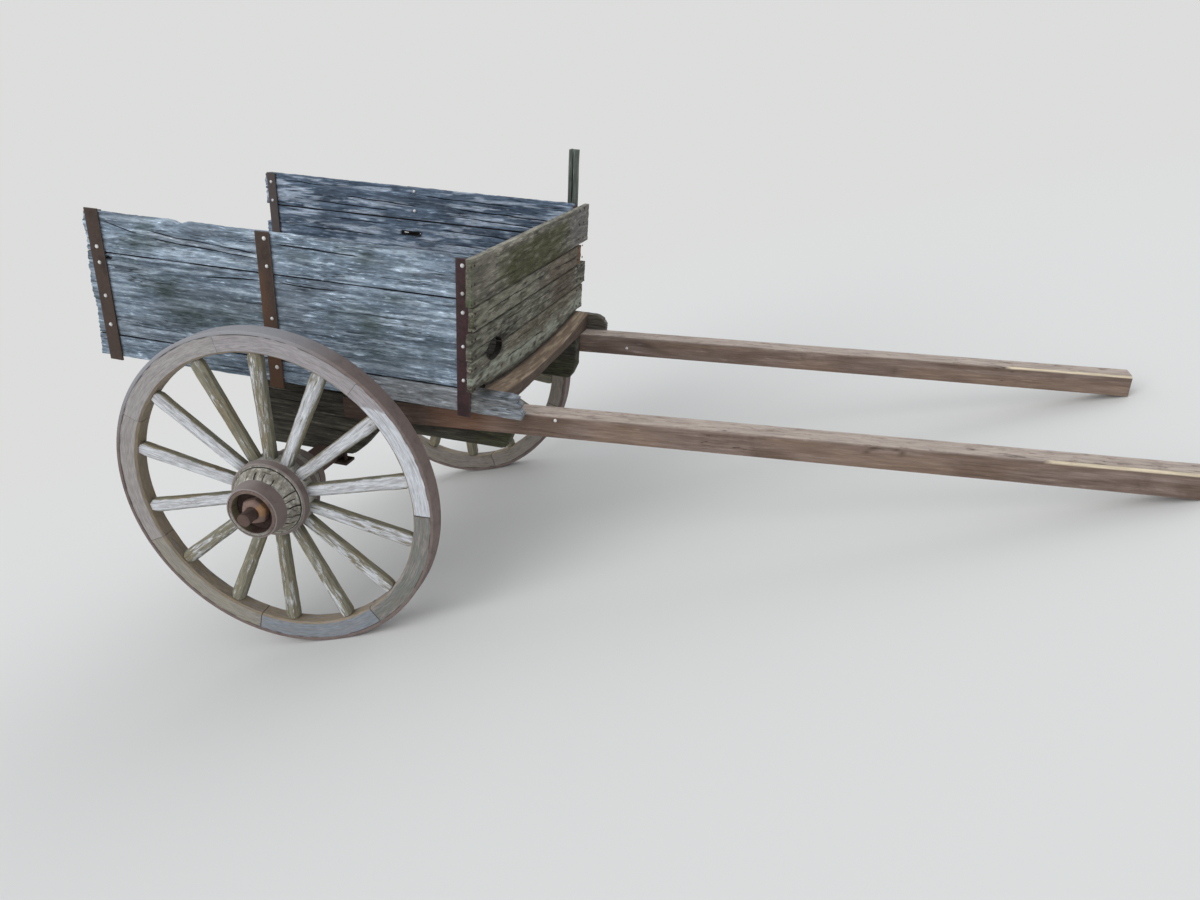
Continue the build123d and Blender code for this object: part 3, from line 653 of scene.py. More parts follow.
# Spokes cleft from oak: olive and brown bare wood where the white paint has gone
spoke_finish = coated_wood("painted_cleft_spoke", "#8a846e", "#767468", "#7e7159", "#8b878a", spread=1.2)
# Rim timbers sawn to a curve, under a chalky grey coat
felloe_finish = coated_wood(
    "painted_sawn_felloe", "#928b86", "#7a7470", "#6b665b", "#8a8585", coat_share=1.15, dust=0.5, spread=0.95)
# Wrought iron: thick brown rust with orange bloom
rust_finish = rusted("rusted_wrought_iron", "#322722", "#473830", "#634736", "#6b5f58")
# The same iron under the last of a dull red paint
red_rust_finish = rusted("rusted_iron_with_red_paint", "#2c1f1e", "#412a2d", "#4d2f30", "#5f4f4e")
# Iron rubbed by the road and dusted: pinkish grey-brown and nearly even
worn_finish = rusted("road_worn_tyre_iron", "#5b4c48", "#74655f", "#7d6356", "#958c8a")
# The axle's bar iron, rubbed and dusty over its rust
axle_finish = rusted("rubbed_axle_iron", "#40332e", "#614d46", "#70564a", "#83736c")
# Cast iron under the box, nearly black, with less bloom
cast_finish = rusted("rusted_cast_iron", "#2c2420", "#43352d", "#5d4335", "#6d6058")
# Bolt heads painted pale grey to near white as painted highlights, on steel with little rust
bolt_finish = rusted("bolt_steel_with_painted_highlights", "#b2b0ad", "#dedede", "#b5a48f", "#f2f2f2", metallic=0.15)


# Sides

# Each board's splits are how open each is and its pieces, in bed x and height. Its broken rear end is x by
# share of its height.
board_splits = {
    "right_top_board": [
        (1.0, [[(-540, 452), (-330, 436), (-112, 426)], [(502, 453), (572, 451)]]),
        (0.9, [[(-728, 492), (-700, 487), (-600, 462), (-575, 462)], [(-540, 476), (-420, 462), (-112, 440)],
               [(-60, 482), (260, 476)]])],
    "left_top_board": [
        (0.8, [[(-560, 418), (-180, 409)], [(60, 414), (560, 402)]]),
        (1.0, [[(-420, 452), (-60, 440)], [(110, 446), (600, 436)]]),
        (0.8, [[(-700, 492), (-480, 487)], [(-40, 486), (380, 478)]])],
    "right_middle_board": [
        (0.5, [[(-700, 128), (-420, 124)], [(-60, 134), (250, 126)]]),
        (0.4, [[(-300, 215), (60, 208)], [(200, 212), (560, 205)]]),
        (0.45, [[(-700, 290), (-430, 300)], [(100, 280), (460, 291)]]),
        (1.0, [[(-346, 339), (-230, 349), (-112, 356)], [(-50, 356), (90, 350), (180, 353)]])],
    "left_middle_board": [
        (0.6, [[(-700, 150), (-300, 140)], [(100, 150), (560, 138)]]),
        (0.7, [[(-500, 240), (-100, 231)], [(80, 236), (420, 226)]]),
        (0.8, [[(-640, 300), (-250, 296)], [(60, 292), (500, 285)]]),
        (0.7, [[(-500, 354), (-200, 350)], [(20, 352), (480, 341)]])],
}
board_ends = {
    "right_top_board": ((-797, 0), (-790, 0.4), (-794, 0.7), (-784, 1)),
    "left_top_board": ((-797, 0), (-790, 0.4), (-794, 0.7), (-784, 1)),
    "right_middle_board": ((-806, 0), (-799, 0.3), (-808, 0.55), (-796, 1)),
    "left_middle_board": (
        (-806, 0), (-799, 0.3), (-805, 0.55), (-801, 0.74), (-768, 0.78), (-762, 0.96), (-770, 1)),
}
board_pits = {"right_middle_board": [(-712, 362, 11, 7, 9)]}
# Dark smudges on the right boards: x, height, half width, half height and share
smudges = (
    (-495, 276, 80, 44, 1.0), (-400, 200, 130, 62, 0.9), (-250, 215, 160, 50, 0.75), (283, 255, 64, 52, 1.0),
    (377, 351, 70, 22, 0.7), (279, 474, 40, 30, 0.9), (45, 448, 60, 18, 0.6), (-566, 430, 80, 22, 0.6),
    (330, 160, 120, 40, 0.7))


def ragged(points, foot, top, seed):
    """A broken end: x by height, with splinters."""
    heights = [foot + share * (top - foot) for x, share in points]
    return lambda z: np.interp(z, heights, [x for x, share in points]) + (noise(z / 5, 0, seed) - 0.5) * 7


def smudged(board, upper, seed):
    """The right boards: stripped pale by the rain, with soft dark smudges, and the upper one torn pale along
    its long split."""
    x, y, z = board["p"].T
    stained(board, bare=ramp(noise(x / 110, z / 8, seed + 8), 0.6, 0.8) * 0.55)
    board["marks"][:, 2] += 0.28 if upper else 0.24 * ramp(x, -400, 60)
    for spot_x, spot_z, wide, high, share in smudges:
        spot = blot(x, spot_x, wide, z, spot_z, high) * share
        stained(board, moss=np.maximum(board["stain"][:, 0], spot * noise(x / 40, z / 15, seed) * 0.6))
        painted(board, "#3e4948", spot * (0.58 + 0.42 * noise(x / 50, z / 22, seed + 6)))
    if upper:
        torn = blot(z, np.interp(x, (-540, -112), (466, 431)), 5) * (x > -540) * (x < -112)
        painted(board, "#b9c0c8", torn * 0.35)


def scoured(board, seed):
    """The left boards, in the painted-shade finish: their inner faces torn to pale patches by loads, their
    outer faces painted plain grey over it.
    """
    x, y, z = board["p"].T
    flaked = 0.6 * noise(x / 150, z / 17, seed + 8) + 0.4 * noise(x / 45, z / 6, seed + 12)
    outer = ramp(y, board_thick / 2, board_thick - 3)
    stained(board, bare=ramp(flaked, 0.52, 0.6) * (0.95 - 0.6 * outer))
    painted(board, "#7b8084", outer * 0.7)
    board["marks"][:, 2] += 0.24


def side_board(side, node, foot, top, seed):
    """One board of a side, with its splits, its broken end and a dark seam along its edges."""
    right, upper, slotted = side < 0, foot == top_foot, node == "left_middle_board"
    wear, notch = 2.6 if upper else 0.5, 9.0 if node == "right_top_board" else 0.0
    slot = (slot_x - slot_long / 2, slot_x + slot_long / 2, slot_z - slot_high / 2, slot_z + slot_high / 2)

    def upper_edge(x):
        lost = (noise(x / 55, 0, seed) + noise(x / 14, 0, seed)) * wear
        return top - lost - notch * blot(x, -418, 17)

    board = timber(
        side_rear, iron_front(side) - strap_thick, board_thick, foot, top, along=13, across=4.2, rough=1.15,
        seed=seed, tint=0.52 if right else 0.42, splits=board_splits[node], pits=board_pits.get(node, ()),
        extra=slot[:2] if slotted else (), rear=ragged(board_ends[node], foot, top, seed), top=upper_edge,
        foot=lambda x: foot + (noise(x / 45, 1, seed) + noise(x / 12, 2, seed)) * 0.5)
    if slotted:
        opened(board, *slot)
    if right:
        smudged(board, upper, seed)
    else:
        scoured(board, seed)
    x, y, z = board["p"].T
    # Painted shade: the slot's walls and a rim round it are painted nearly black, so the slot shows dark
    if slotted:
        past = np.clip(np.abs(x - slot_x) - slot_long / 2, 0, None)
        above = np.clip(np.abs(z - slot_z) - slot_high / 2, 0, None)
        painted(board, "#0b0c0e", ramp(-np.hypot(past, above), -9, -4))
    stained(board, rot=ramp(noise(x / 160, z / 26, seed + 9), 0.6, 0.8) * 0.35)
    seam = np.minimum(np.abs(z - top_foot + 0.7), np.abs(z - middle_foot + 0.7))
    seam_width, seam_dark = (2.7, 0.5) if right else (3.2, 0.8)
    darkened(board, blot(seam, 0, seam_width) * (seam_dark + 0.5 * noise(x / 70, 0, 11)))
    finished(node, "weathered", [on_side(board, side, half_width - board_thick)],
             plank_finish if right else shaded_plank_finish)


for side_name, side in sides.items():
    side_board(side, f"{side_name}_middle_board", middle_foot, middle_top, 12 + 3 * side)
    side_board(side, f"{side_name}_top_board", top_foot, side_height, 9 + 3 * side)

# Each sill's broken nose is x by height, and its rear end is worn back a little towards its top
sill_nose = {
    "right": ((811, 0), (818, 21), (805, 34), (815, 50), (797, 58), (801, 72), (770, sill_height)),
    "left": ((815, 0), (815, 20), (812, 38), (801, 54), (785, 64), (767, 68), (767, sill_height)),
}
sill_splits = [
    (0.4, [[(-600, 22), (-220, 27)], [(660, 18), (812, 22)]]),
    (0.45, [[(-100, 44), (360, 50)], [(640, 46), (800, 49)]]),
    (0.35, [[(-420, 66), (20, 62)], [(668, 63), (795, 66)]])]

sill_rear = ((0, 48, sill_height), (-814, -811, -806))


def add_sill(side_name, side):
    """A side's bottom timber, weathered as its boards are."""
    nose_x, nose_z = zip(*sill_nose[side_name])
    cut_x = iron_front(1) - strap_thick
    cut_down = 14.0 if side > 0 else 0.0
    sill = timber(
        -812, 815, sill_thick, 0, sill_height, along=13, across=3.6, seed=20 + side, rough=1.3,
        splits=sill_splits, tint=0.6 if side < 0 else 0.45,
        extra=(cut_x - 3, cut_x + 3, 775, 785, 795, 803, 809),
        top=lambda x: sill_height - cut_down * ramp(x, cut_x - 3, cut_x + 3) - noise(x / 30, 0, 5) * 2.2,
        foot=lambda x: noise(x / 40, 3, 6) * 2.0,
        rear=lambda z: np.interp(z, *sill_rear) + (noise(z / 5, 0, 3) - 0.5) * 5,
        front=lambda z: np.interp(z, nose_z, nose_x) + (noise(z / 4, 0, 8) - 0.5) * 4)
    x, y, z = sill["p"].T
    darkened(sill, ramp(z, sill_height - 4, sill_height - 1) * ramp(-x, -640, -630) * 0.6)
    if side < 0:
        soiled = ramp(x, 622, 634) * ramp(-x + noise(z / 9, x / 30, 5) * 24, -676, -650)
        broken = ramp(x, 640, 660) * ramp(z, 60, 72) * ramp(noise(x / 25, 0, 3), 0.3, 0.6)
        painted(sill, "#5b5446", soiled * 0.85)
        painted(sill, "#93918f", ramp(x, 120, 360) * ramp(-x, -640, -615) * 0.6)
        painted(sill, "#6b6a69", ramp(x, 628, 650) * (0.45 + 0.55 * noise(x / 50, z / 5, 4)))
        painted(sill, "#2b2a28", broken * 0.8)
        stained(sill, bare=ramp(x, 660, 690) * ramp(noise(x / 50, z / 5, 6), 0.5, 0.75) * 0.7)
    else:
        # The outer face is painted plain grey over the painted shade of its finish
        painted(sill, "#7b8084", ramp(y, sill_thick / 2, sill_thick - 3) * 0.7)
        painted(sill, "#6a6152", ramp(x, 600, 660) * 0.85)
    finished(f"{side_name}_sill", "weathered", [on_side(sill, side, inside)],
             plank_finish if side < 0 else shaded_plank_finish)


for side_name, side in sides.items():
    add_sill(side_name, side)


# Head board, rotted through at one seam

# Grid lines round the hole, by share of its half width
hole_shares = (-1.05, -0.98, -0.9, -0.75, -0.5, 0.5, 0.75, 0.9, 0.98, 1.05)
hole_lines = [hole_x + share * hole_wide / 2 for share in hole_shares]


def bite(x, edge_z, sign):
    """How far the rotted hole has eaten into a board's edge."""
    open_by = 1 - ((x - hole_x) / (hole_wide / 2)) ** 2
    reach = hole_high / 2 * np.sqrt(np.clip(open_by, 0, 1)) - sign * (edge_z - hole_z)
    return np.clip(reach, 0, None) * (open_by > 0)


def dressed_head_board(board, name, top, seed):
    """Moss, bare wood and the colours of each head board."""
    x, y, z = board["p"].T
    mottled = noise(x / 70, z / 30, seed + 5)
    worn = ramp(noise(x / 60, z / 9, seed + 7), 0.6, 0.8)
    stained(board, moss=ramp(mottled, 0.45, 0.8) * 0.35, bare=worn * 0.5)
    if name == "top":
        green = ramp(x + mottled * 120, -330, -180) * ramp(-x + mottled * 160, -360, -120)
        green *= ramp(498 - z, 0, 30)
        stained(board, moss=green)
        coats = (("#45452c", green * (0.45 + 0.55 * noise(x / 45, z / 20, 3))),
                 ("#515c43", ramp(-x, 552, 566) * 0.8),
                 ("#6e6a60", ramp(-x + mottled * 60, 400, 470) * ramp(z, 372, 400) * 0.6),
                 ("#6a6768", ramp(x + mottled * 130, 420, 520) * 0.6),
                 ("#a3a194", np.exp(-(top - z) / 4) * 0.9))
    elif name == "second":
        pale = ramp(-x + mottled * 180, 0, 200) * ramp(noise(x / 40, z / 14, 17), 0.25, 0.6)
        stained(board, moss=ramp(-x + mottled * 200, 60, 300) * 0.5)
        coats = (("#5d5144", ramp(x + mottled * 200, 100, 330) * 0.7),
                 ("#7a5232", ramp(x, 505, 520) * 0.85),
                 ("#807e70", pale * 0.75))
    elif name == "third":
        coats = (("#54483c", ramp(x + mottled * 160, 120, 320) * ramp(-x, -500, -420) * 0.75),
                 ("#4a473e", ramp(-x, 470, 520) * 0.6),
                 ("#767a6c", ramp(noise(x / 35, z / 9, 13), 0.4, 0.75) * ramp(-x, -260, 60) * 0.75))
    else:
        low = z + hollow(x)
        pale = ramp(noise(x / 30, z / 7, 9) + 0.5 * mottled, 0.45, 0.9) * ramp(low, 86, 98)
        coats = (("#92978a", pale * ramp(146 - low + mottled * 44, 0, 30) * 0.9),
                 ("#5f5749", ramp(low, 128, 150) * ramp(x, -330, -200) * 0.5))
    for code, share in coats:
        painted(board, code, share)


def head_board(name, foot, top, right_over, left_over, tint, seed, splits):
    """One head board. The lowest follows the worn beam under it, and it and the third are eaten by the
    hole."""
    lowest = name == "bottom"
    right_end, left_end = -half_width - right_over, half_width + left_over
    rot_edge = 7.0 if lowest else 2.0

    def ragged_top(x):
        eaten = bite(x, top, -1) if lowest else 0
        return top - 0.8 - (noise(x / 40, 0, seed) + noise(x / 11, 0, seed)) * 1.7 - eaten

    def ragged_foot(x):
        eaten = bite(x, foot, 1) if name == "third" else 0
        down = hollow(x) + 17 * (np.abs(x) < hollow_half) if lowest else 0
        edge_z = foot + 0.5 + noise(x / 26, 5, seed) * rot_edge * 0.6
        edge_z = edge_z + noise(x / 9, 4, seed) * rot_edge * 0.4
        return edge_z + eaten - down

    board = timber(
        right_end, left_end, head_thick, foot, top, along=12, across=4.2, edge=3.5, seed=seed, rough=1.4,
        tint=tint, splits=splits, extra=hole_lines, top=ragged_top, foot=ragged_foot,
        rear=lambda z: right_end + 2 + noise(z / 9, 0, seed) * 4 + noise(z / 3.5, 1, seed) * 3,
        front=lambda z: left_end - 2 - noise(z / 9, 3, seed) * 4 - noise(z / 3.5, 4, seed) * 3)
    board["grain"][:, 0] *= 2.0
    x, y, z = board["p"].T
    near_hole = np.hypot((x - hole_x) / (hole_wide / 2), (z - hole_z) / (hole_high / 2))
    # Painted shade: the hole's walls and edges are marked dark so that the hole shows dark
    darkened(board, ramp(-near_hole, -1.25, -1.05))
    rot = blot(x, -300, 130, z - (x + 300) * 0.1, 208, 17) + blot(x, hole_x, 80, z, hole_z, 46)
    above_foot = z - foot + (hollow(x) if lowest else 0)
    stained(board, rot=np.clip(rot * 1.1 + np.exp(-above_foot / 8) * (0.9 if lowest else 0.3), 0, 1))
    dressed_head_board(board, name, top, seed)
    across = np.array([sin(head_skew) * cos(head_tilt), cos(head_skew) * cos(head_tilt), -sin(head_tilt)])
    ahead = np.array([cos(head_skew), -sin(head_skew), 0.0])
    p = board["p"]
    start = np.array([head_rear(0), 0.0, 0.0])
    board["p"] = in_bed(start + across * p[:, :1] + ahead * p[:, 1:2] + np.cross(ahead, across) * p[:, 2:])
    finished(f"head_board_{name}", "mossy", [board], mossy_finish)


for name, foot, top, right_over, left_over, tint, seed, splits in (
    ("bottom", 78, 184, 47, 59, 0.56, 46,
     [(0.6, [[(-300, 112), (100, 108)]]), (0.5, [[(-200, 150), (420, 143)]])]),
    ("third", 186, 277, 53, 84, 0.48, 45,
     [(0.6, [[(-560, 214), (-120, 219)], [(60, 216), (430, 212)]]), (0.5, [[(-380, 250), (200, 244)]])]),
    ("second", 279, 359, 35, 14, 0.5, 46,
     [(0.6, [[(-480, 318), (80, 325)], [(180, 322), (500, 315)]])]),
    ("top", 361, 515, 53, 99, 0.56, 43,
     [(0.3, [[(-500, 398), (-80, 404)], [(100, 402), (560, 396)]]), (0.25, [[(-340, 447), (300, 455)]])]),
):
    head_board(name, foot, top, right_over, left_over, tint, seed, splits)


# Floor boards and joists

rng = np.random.default_rng(31)


def own_splits(x0, x1, z0, z1, count):
    """Drying splits of a board's own, evenly spread across it."""
    at_least, at_most = 160, 520
    out = []
    for number in range(count):
        z = z0 + (z1 - z0) * (number + 0.5 + rng.uniform(-0.2, 0.2)) / count
        pieces, x = [], x0 + rng.uniform(0, 200)
        while x < x1 - at_least:
            long = rng.uniform(at_least, at_most)
            pieces.append([(x, z + rng.uniform(-4, 4)), (min(x + long, x1), z + rng.uniform(-4, 4))])
            x += long + rng.uniform(150, 700)
        if pieces:
            out.append((0.6, pieces))
    return out


boards = []
for number in range(floor_count):
    board = timber(side_rear - 2 + rng.uniform(-2, 4), corner_x - rng.uniform(0, 2), floor_thick, 0,
                   floor_width, along=26, across=9, edge=3, seed=60 + number, tint=rng.uniform(0.34, 0.66),
                   splits=own_splits(side_rear, corner_x, 0, floor_width, 1 + number % 2), layers=2)
    x, y, z = board["p"].T
    # Painted shade: the boards are painted nearly black towards the head board, so the rotted hole shows dark
    painted(board, "#14110e", ramp(x, 430, 600) * 0.9)
    right_edge = -inside + number * (floor_width + floor_gap)
    board["p"] = in_bed(np.stack([x, right_edge + z, joist_deep + y], 1))
    boards.append(board)
finished("floor_boards", "trodden", boards, floor_finish)

joists = []
for number, joist_x in enumerate(joist_places):
    joist = timber(-inside, inside, joist_deep, 0, joist_wide, along=30, across=9, edge=4, seed=80 + number,
                   tint=rng.uniform(0.4, 0.6), layers=5)
    x, y, z = joist["p"].T
    joist["p"] = in_bed(np.stack([joist_x - joist_wide / 2 + z, x, y], 1))
    joists.append(joist)
finished("joists", "sawn", joists, beam_finish)


# Rails, shafts, front beam and stake

def belly(x):
    """A rail's underside, deep over the axle and shallow ahead of it."""
    return -rail_deep + (rail_deep - rail_shallow) * ramp(x, 105, 255) + 50 * ramp(x, 705, rail_front)


def add_rail(side_name, side):
    """A rail, mossy at its front end."""
    rail = timber(rail_rear, rail_front, rail_thick, -rail_deep, 0, along=15, across=9, edge=6,
                  seed=90 + side, rough=1.2, foot=belly, layers=7,
                  splits=[(0.6, [[(-240, -116), (60, -122)], [(260, -108), (640, -116)]]),
                          (0.7, [[(-100, -60), (400, -54)]])])
    x, y, z = rail["p"].T
    stained(rail, moss=ramp(x + noise(x / 60, z / 60, 4) * 120, 620, 740) * ramp(-z, 60, 110) * 0.8)
    rail["p"] = in_bed(np.stack([x, side * (rail_outer - rail_thick + y - (x - corner_x) * splay), z], 1))
    finished(f"{side_name}_rail", "sawn", [rail], beam_finish)


def add_shaft(side_name, side):
    """A shaft, bleached on top and with one upper edge planed off over the grip."""
    grip_start = shaft_reach - grip_length
    shaft = timber(-shaft_tail, shaft_reach, shaft_width, -shaft_height, 0, along=17, across=6.5, edge=3.5,
                   seed=100 + side, rough=0.7, layers=13, extra=(grip_start, grip_start + grip_run),
                   splits=[(0.22, [[(-300, -52), (200, -55)], [(1500, -50), (1900, -58)]])])
    x, y, z = shaft["p"].T
    stained(shaft, bare=np.clip(ramp(z, -5, -1.2) * (0.75 + 0.4 * noise(x / 90, y / 20, 7)), 0, 1))
    cut = ramp(x, grip_start, grip_start + grip_run)
    over = np.clip(1 - (shaft_width - y if side < 0 else y) / grip_across, 0, 1)
    shaft["p"][:, 2] = np.where(z > -grip_down - 1, np.minimum(z, -over * grip_down * cut), z)
    face = ramp(-z, 4, 8)
    for code, share in (
        ("#86705f", face * ramp(noise(x / 260, z / 60, 11 + side), 0.5, 0.8) * 0.5),
        ("#5c4a3e", face * ramp(noise(x / 200, z / 40, 15 + side), 0.55, 0.8) * 0.6),
        ("#6e4a36", face * ramp(-x, -150, 20) * 0.75),
        # Painted shade: the tail that runs under the box is painted nearly black
        ("#332822", ramp(-x, 90, 210) * 0.85),
        ("#d2c3aa", cut * ramp(over, 0.02, 0.12) * ramp(z, -9.5, -7.5)),
    ):
        painted(shaft, code, share)
    if side < 0:
        # A dark ring round a knot
        ring = np.abs(np.hypot((x - 1322) / 52, (z + 28) / 24) - 1)
        stained(shaft, rot=blot(ring, 0, 0.17) * (z > -32) * (x < 1390) * face * 0.9)
    else:
        rot = blot(x, 1366, 14, z, -50, 15) * 0.6
        rot += blot(x, 380, 70, z + (x - 380) * 0.2, -30, 14) * 0.7
        stained(shaft, rot=rot)
    lateral = side * (shaft_outer - shaft_width + y - x * splay)
    p = shaft["p"]
    along, above = np.array([cos(rise), 0.0, sin(rise)]), np.array([-sin(rise), 0.0, cos(rise)])
    origin, left = np.array([corner_x, 0.0, 0.0]), np.array([0, 1.0, 0])
    shaft["p"] = in_bed(origin + along * p[:, :1] + above * p[:, 2:] + left * lateral[:, None])
    finished(f"{side_name}_shaft", "planed", [shaft], shaft_finish)


for add_timber in (add_rail, add_shaft):
    for side_name, side in sides.items():
        add_timber(side_name, side)

# The beam is a timber one unit thick and deep, shaped between the head board, the shafts and its worn top
beam_half = shaft_outer
beam = timber(-beam_half, beam_half, 1, 0, 1, along=16, across=0.1, edge=0.03, seed=120, rough=0.0, layers=8)
x, y, z = beam["p"].T
rear_x = head_rear(x) + head_thick / cos(head_skew)
depth_x = rear_x + (beam_front - rear_x) * z
under = (depth_x - corner_x) * tan(rise)
beam["grain"] = np.stack([x, y * 70, z * 75], 1) * mm + 3.1
waves = (noise(x / 120, z * 3, 5) + noise(x / 30, y * 4 + z * 5, 6) - 1) * 2.2
# Painted light and shade: the top face is painted lighter with pale speckles, and the faces below it darker
painted(beam, "#7d6b59", 0.85 * ramp(y, 0.93, 0.985))
painted(beam, "#43362b", 0.8 * ramp(-y, -0.93, -0.85))
painted(beam, "#a8977f", ramp(y, 0.95, 0.985) * ramp(noise(x / 60, z * 9, 3), 0.6, 0.8) * 0.8)
painted(beam, "#2b231c", ramp(y, 0.95, 0.985) * ramp(-z, -0.22, -0.1) * 0.85)
crest = beam_top - hollow(x) - 5 * ramp(z, 0.8, 1.0) * noise(x / 50, 0, 9)
beam_x = depth_x + waves * (z > 0.5) - 1.2
beam_z = under + (crest - under) * y - np.abs(waves) * (y > 0.5)
beam["p"] = in_bed(np.stack([beam_x, x, beam_z], 1))
finished("front_beam", "worn", [beam], shaft_finish)

stake = timber(-stake_foot, stake_top, stake_size, 0, stake_size, along=16, across=5, edge=4, seed=130,
               rough=1.2, layers=7, splits=[(0.8, [[(100, 18), (420, 20)], [(500, 17), (727, 19)]])])
x, y, z = stake["p"].T
stake_y = half_width + strap_thick + 0.2
stake_rear = head_rear(stake_y) - stake_back - stake_size
lean = (noise(x / 220, 0, 3) - 0.5) * 5 * ramp(x, 500, 700)
stake["p"] = in_bed(np.stack([stake_rear + z + lean, stake_y + y, x], 1))
finished("corner_stake", "split", [stake], stake_finish)


# Straps and corner irons

def add_strap(node, side, x0, foot, top, seed, code):
    """A strap down the outside of a side, dustier towards its foot."""
    strap = plate(x0, x0 + strap_width, strap_thick, foot, top, seed + side)
    x, y, z = strap["p"].T
    painted(strap, code)
    stained(strap, dust=ramp(noise(z / 90, x / 60, 7 + side) + ramp(-z, -480, -80) * 0.5, 0.45, 0.95) * 0.85)
    finished(node, "forged", [on_side(strap, side, half_width)], rust_finish)


def add_inner_strap(side_name, side):
    """A narrower strap inside a side, opposite the rear strap."""
    strap = plate(-776, -776 + iron_leg, strap_thick, middle_foot, side_height, 150 + side)
    strap["p"][:, 1] *= -1
    painted(strap, "#575050")
    stained(strap, dust=0.75)
    finished(f"{side_name}_inner_strap", "forged", [on_side(strap, side, half_width - board_thick)],
             rust_finish)


def add_corner_iron(side_name, side):
    """An angle iron round a front corner: a plate along the side and a leg across it."""
    front_x, iron_top = iron_front(side), side_height - 1.5 - strap_thick
    outer = plate(front_x - iron_width, front_x, strap_thick, -14, iron_top, 160 + side)
    leg = plate(0, iron_leg, strap_thick, middle_foot, iron_top, 170 + side)
    x, y, z = leg["p"].T
    leg["p"] = in_bed(np.stack([front_x - strap_thick + y, side * (half_width + strap_thick - x), z], 1))
    finished(f"{side_name}_corner_iron", "forged", [on_side(outer, side, half_width), leg],
             red_rust_finish)


strap_tops = {"right": (530, 521), "left": (517, 516)}
for side_name, side in sides.items():
    rear_top, middle_top_end = strap_tops[side_name]
    add_strap(f"{side_name}_rear_strap", side, -772, -12, rear_top, 150, "#493a32")
    add_strap(f"{side_name}_middle_strap", side, -113, -20, middle_top_end, 152, "#5f432f")
    add_inner_strap(side_name, side)
    add_corner_iron(side_name, side)


# Wheels

# Each felloe's coat and how much of it is left, how open each joint is, and each spoke's share of paint
felloe_coats = {"right": ("#999496", "#c3c6cb", "#6f726c", "#7f868d", "#8e897d", "#96918e", "#9a9594"),
                "left": ("#8f857a", "#8a8177", "#93897d", "#857c72", "#8d857b", "#8b8375", "#948b80")}
felloe_left = {"right": (0.9, 1.0, 0.38, 0.6, 0.5, 0.8, 0.9), "left": (0.6, 0.5, 0.6, 0.5, 0.6, 0.5, 0.6)}
joint_shown = {"right": (0.1, 0.1, 0.8, 0.7, 0.6, 0.25, 0.25), "left": (0.6,) * 7}
spoke_left = {"right": (0.3, 0.5, 0.57, 0.62, 0.5, 0.42, 0.33, 0.28, 0.22, 0.33, 0.6, 0.66, 0.64, 0.2),
              "left": (0.5, 0.35) * 7}


def add_spokes(side_name, side):
    """Cleft spokes, faceted along their edges, with more paint left on their outer faces, partly as painted
    light on them.
    """
    centre, outward, sideways, up = on_hub(side)
    length = sqrt(felloe_inner ** 2 - (spoke_rim[0] / 2) ** 2) - spoke_seat
    across = lines(-1, 1, 0.28, 0.02, (-0.52, 0.52))
    skins = []
    for number in range(spoke_count):
        p, out, quads = block(lines(0, length, 14, 1), across, across, 0.02)
        x = p[:, 0]
        t = x / length
        wide, deep = ((at_nave + (at_rim - at_nave) * t) / 2
                      for at_nave, at_rim in zip(spoke_nave, spoke_rim))
        wide = wide * (1 - 0.05 * np.sin(t * pi))
        u, v = p[:, 1] * wide, p[:, 2] * deep
        over_u, over_v = np.abs(u) - (wide - spoke_chamfer), np.abs(v) - (deep - spoke_chamfer)
        cut = np.clip(over_u + over_v - spoke_chamfer, 0, None) * (over_u > 0) * (over_v > 0) / 2
        seed = 200 + number + 20 * side
        way = np.arctan2(u, v)
        worn = 1 - 0.05 * noise(x / 45, way, seed) - 0.02 * noise(x / 14, way * 3, seed)
        shoulder = 1 - 0.25 * ramp(t, 0.94, 1.0) ** 2
        u = (np.abs(u) - cut) * np.sign(u) * worn * shoulder
        v = (np.abs(v) - cut) * np.sign(v) * worn
        a = radians(wheel_turn[side_name] + number * 360 / spoke_count)
        ray, round_way = up * cos(a) + sideways * sin(a), -up * sin(a) + sideways * cos(a)
        place = centre + ray * (spoke_seat + p[:, :1]) + round_way * u[:, None] + outward * v[:, None]
        grain = np.stack([x, u, v], 1) * mm + number * 1.3 + side
        tint = 0.4 + 0.12 * noise(number * 3.7, 1, 5)
        spoke = new_skin(place * mm, quads, grain, 0.0, np.exp(-np.abs(over_u + over_v) / 5) * 0.4, tint)
        spoke["coat"][:] = colour("#c9cbce")
        patchy = 0.16 * (noise(x / 60, number + u / 30, 9) - 0.3)
        # Paint mostly on the outer face: partly paint kept there, partly painted light on that face
        spoke["coat"][:, 3] = (0.1 + 0.9 * ramp(v, 8, 16)) * spoke_left[side_name][number] + patchy
        stained(spoke, moss=ramp(t, 0.12, 0.0) * 0.4)
        skins.append(spoke)
    finished(f"{side_name}_spokes", "painted", skins, spoke_finish, f"{side_name}_wheel", 30)


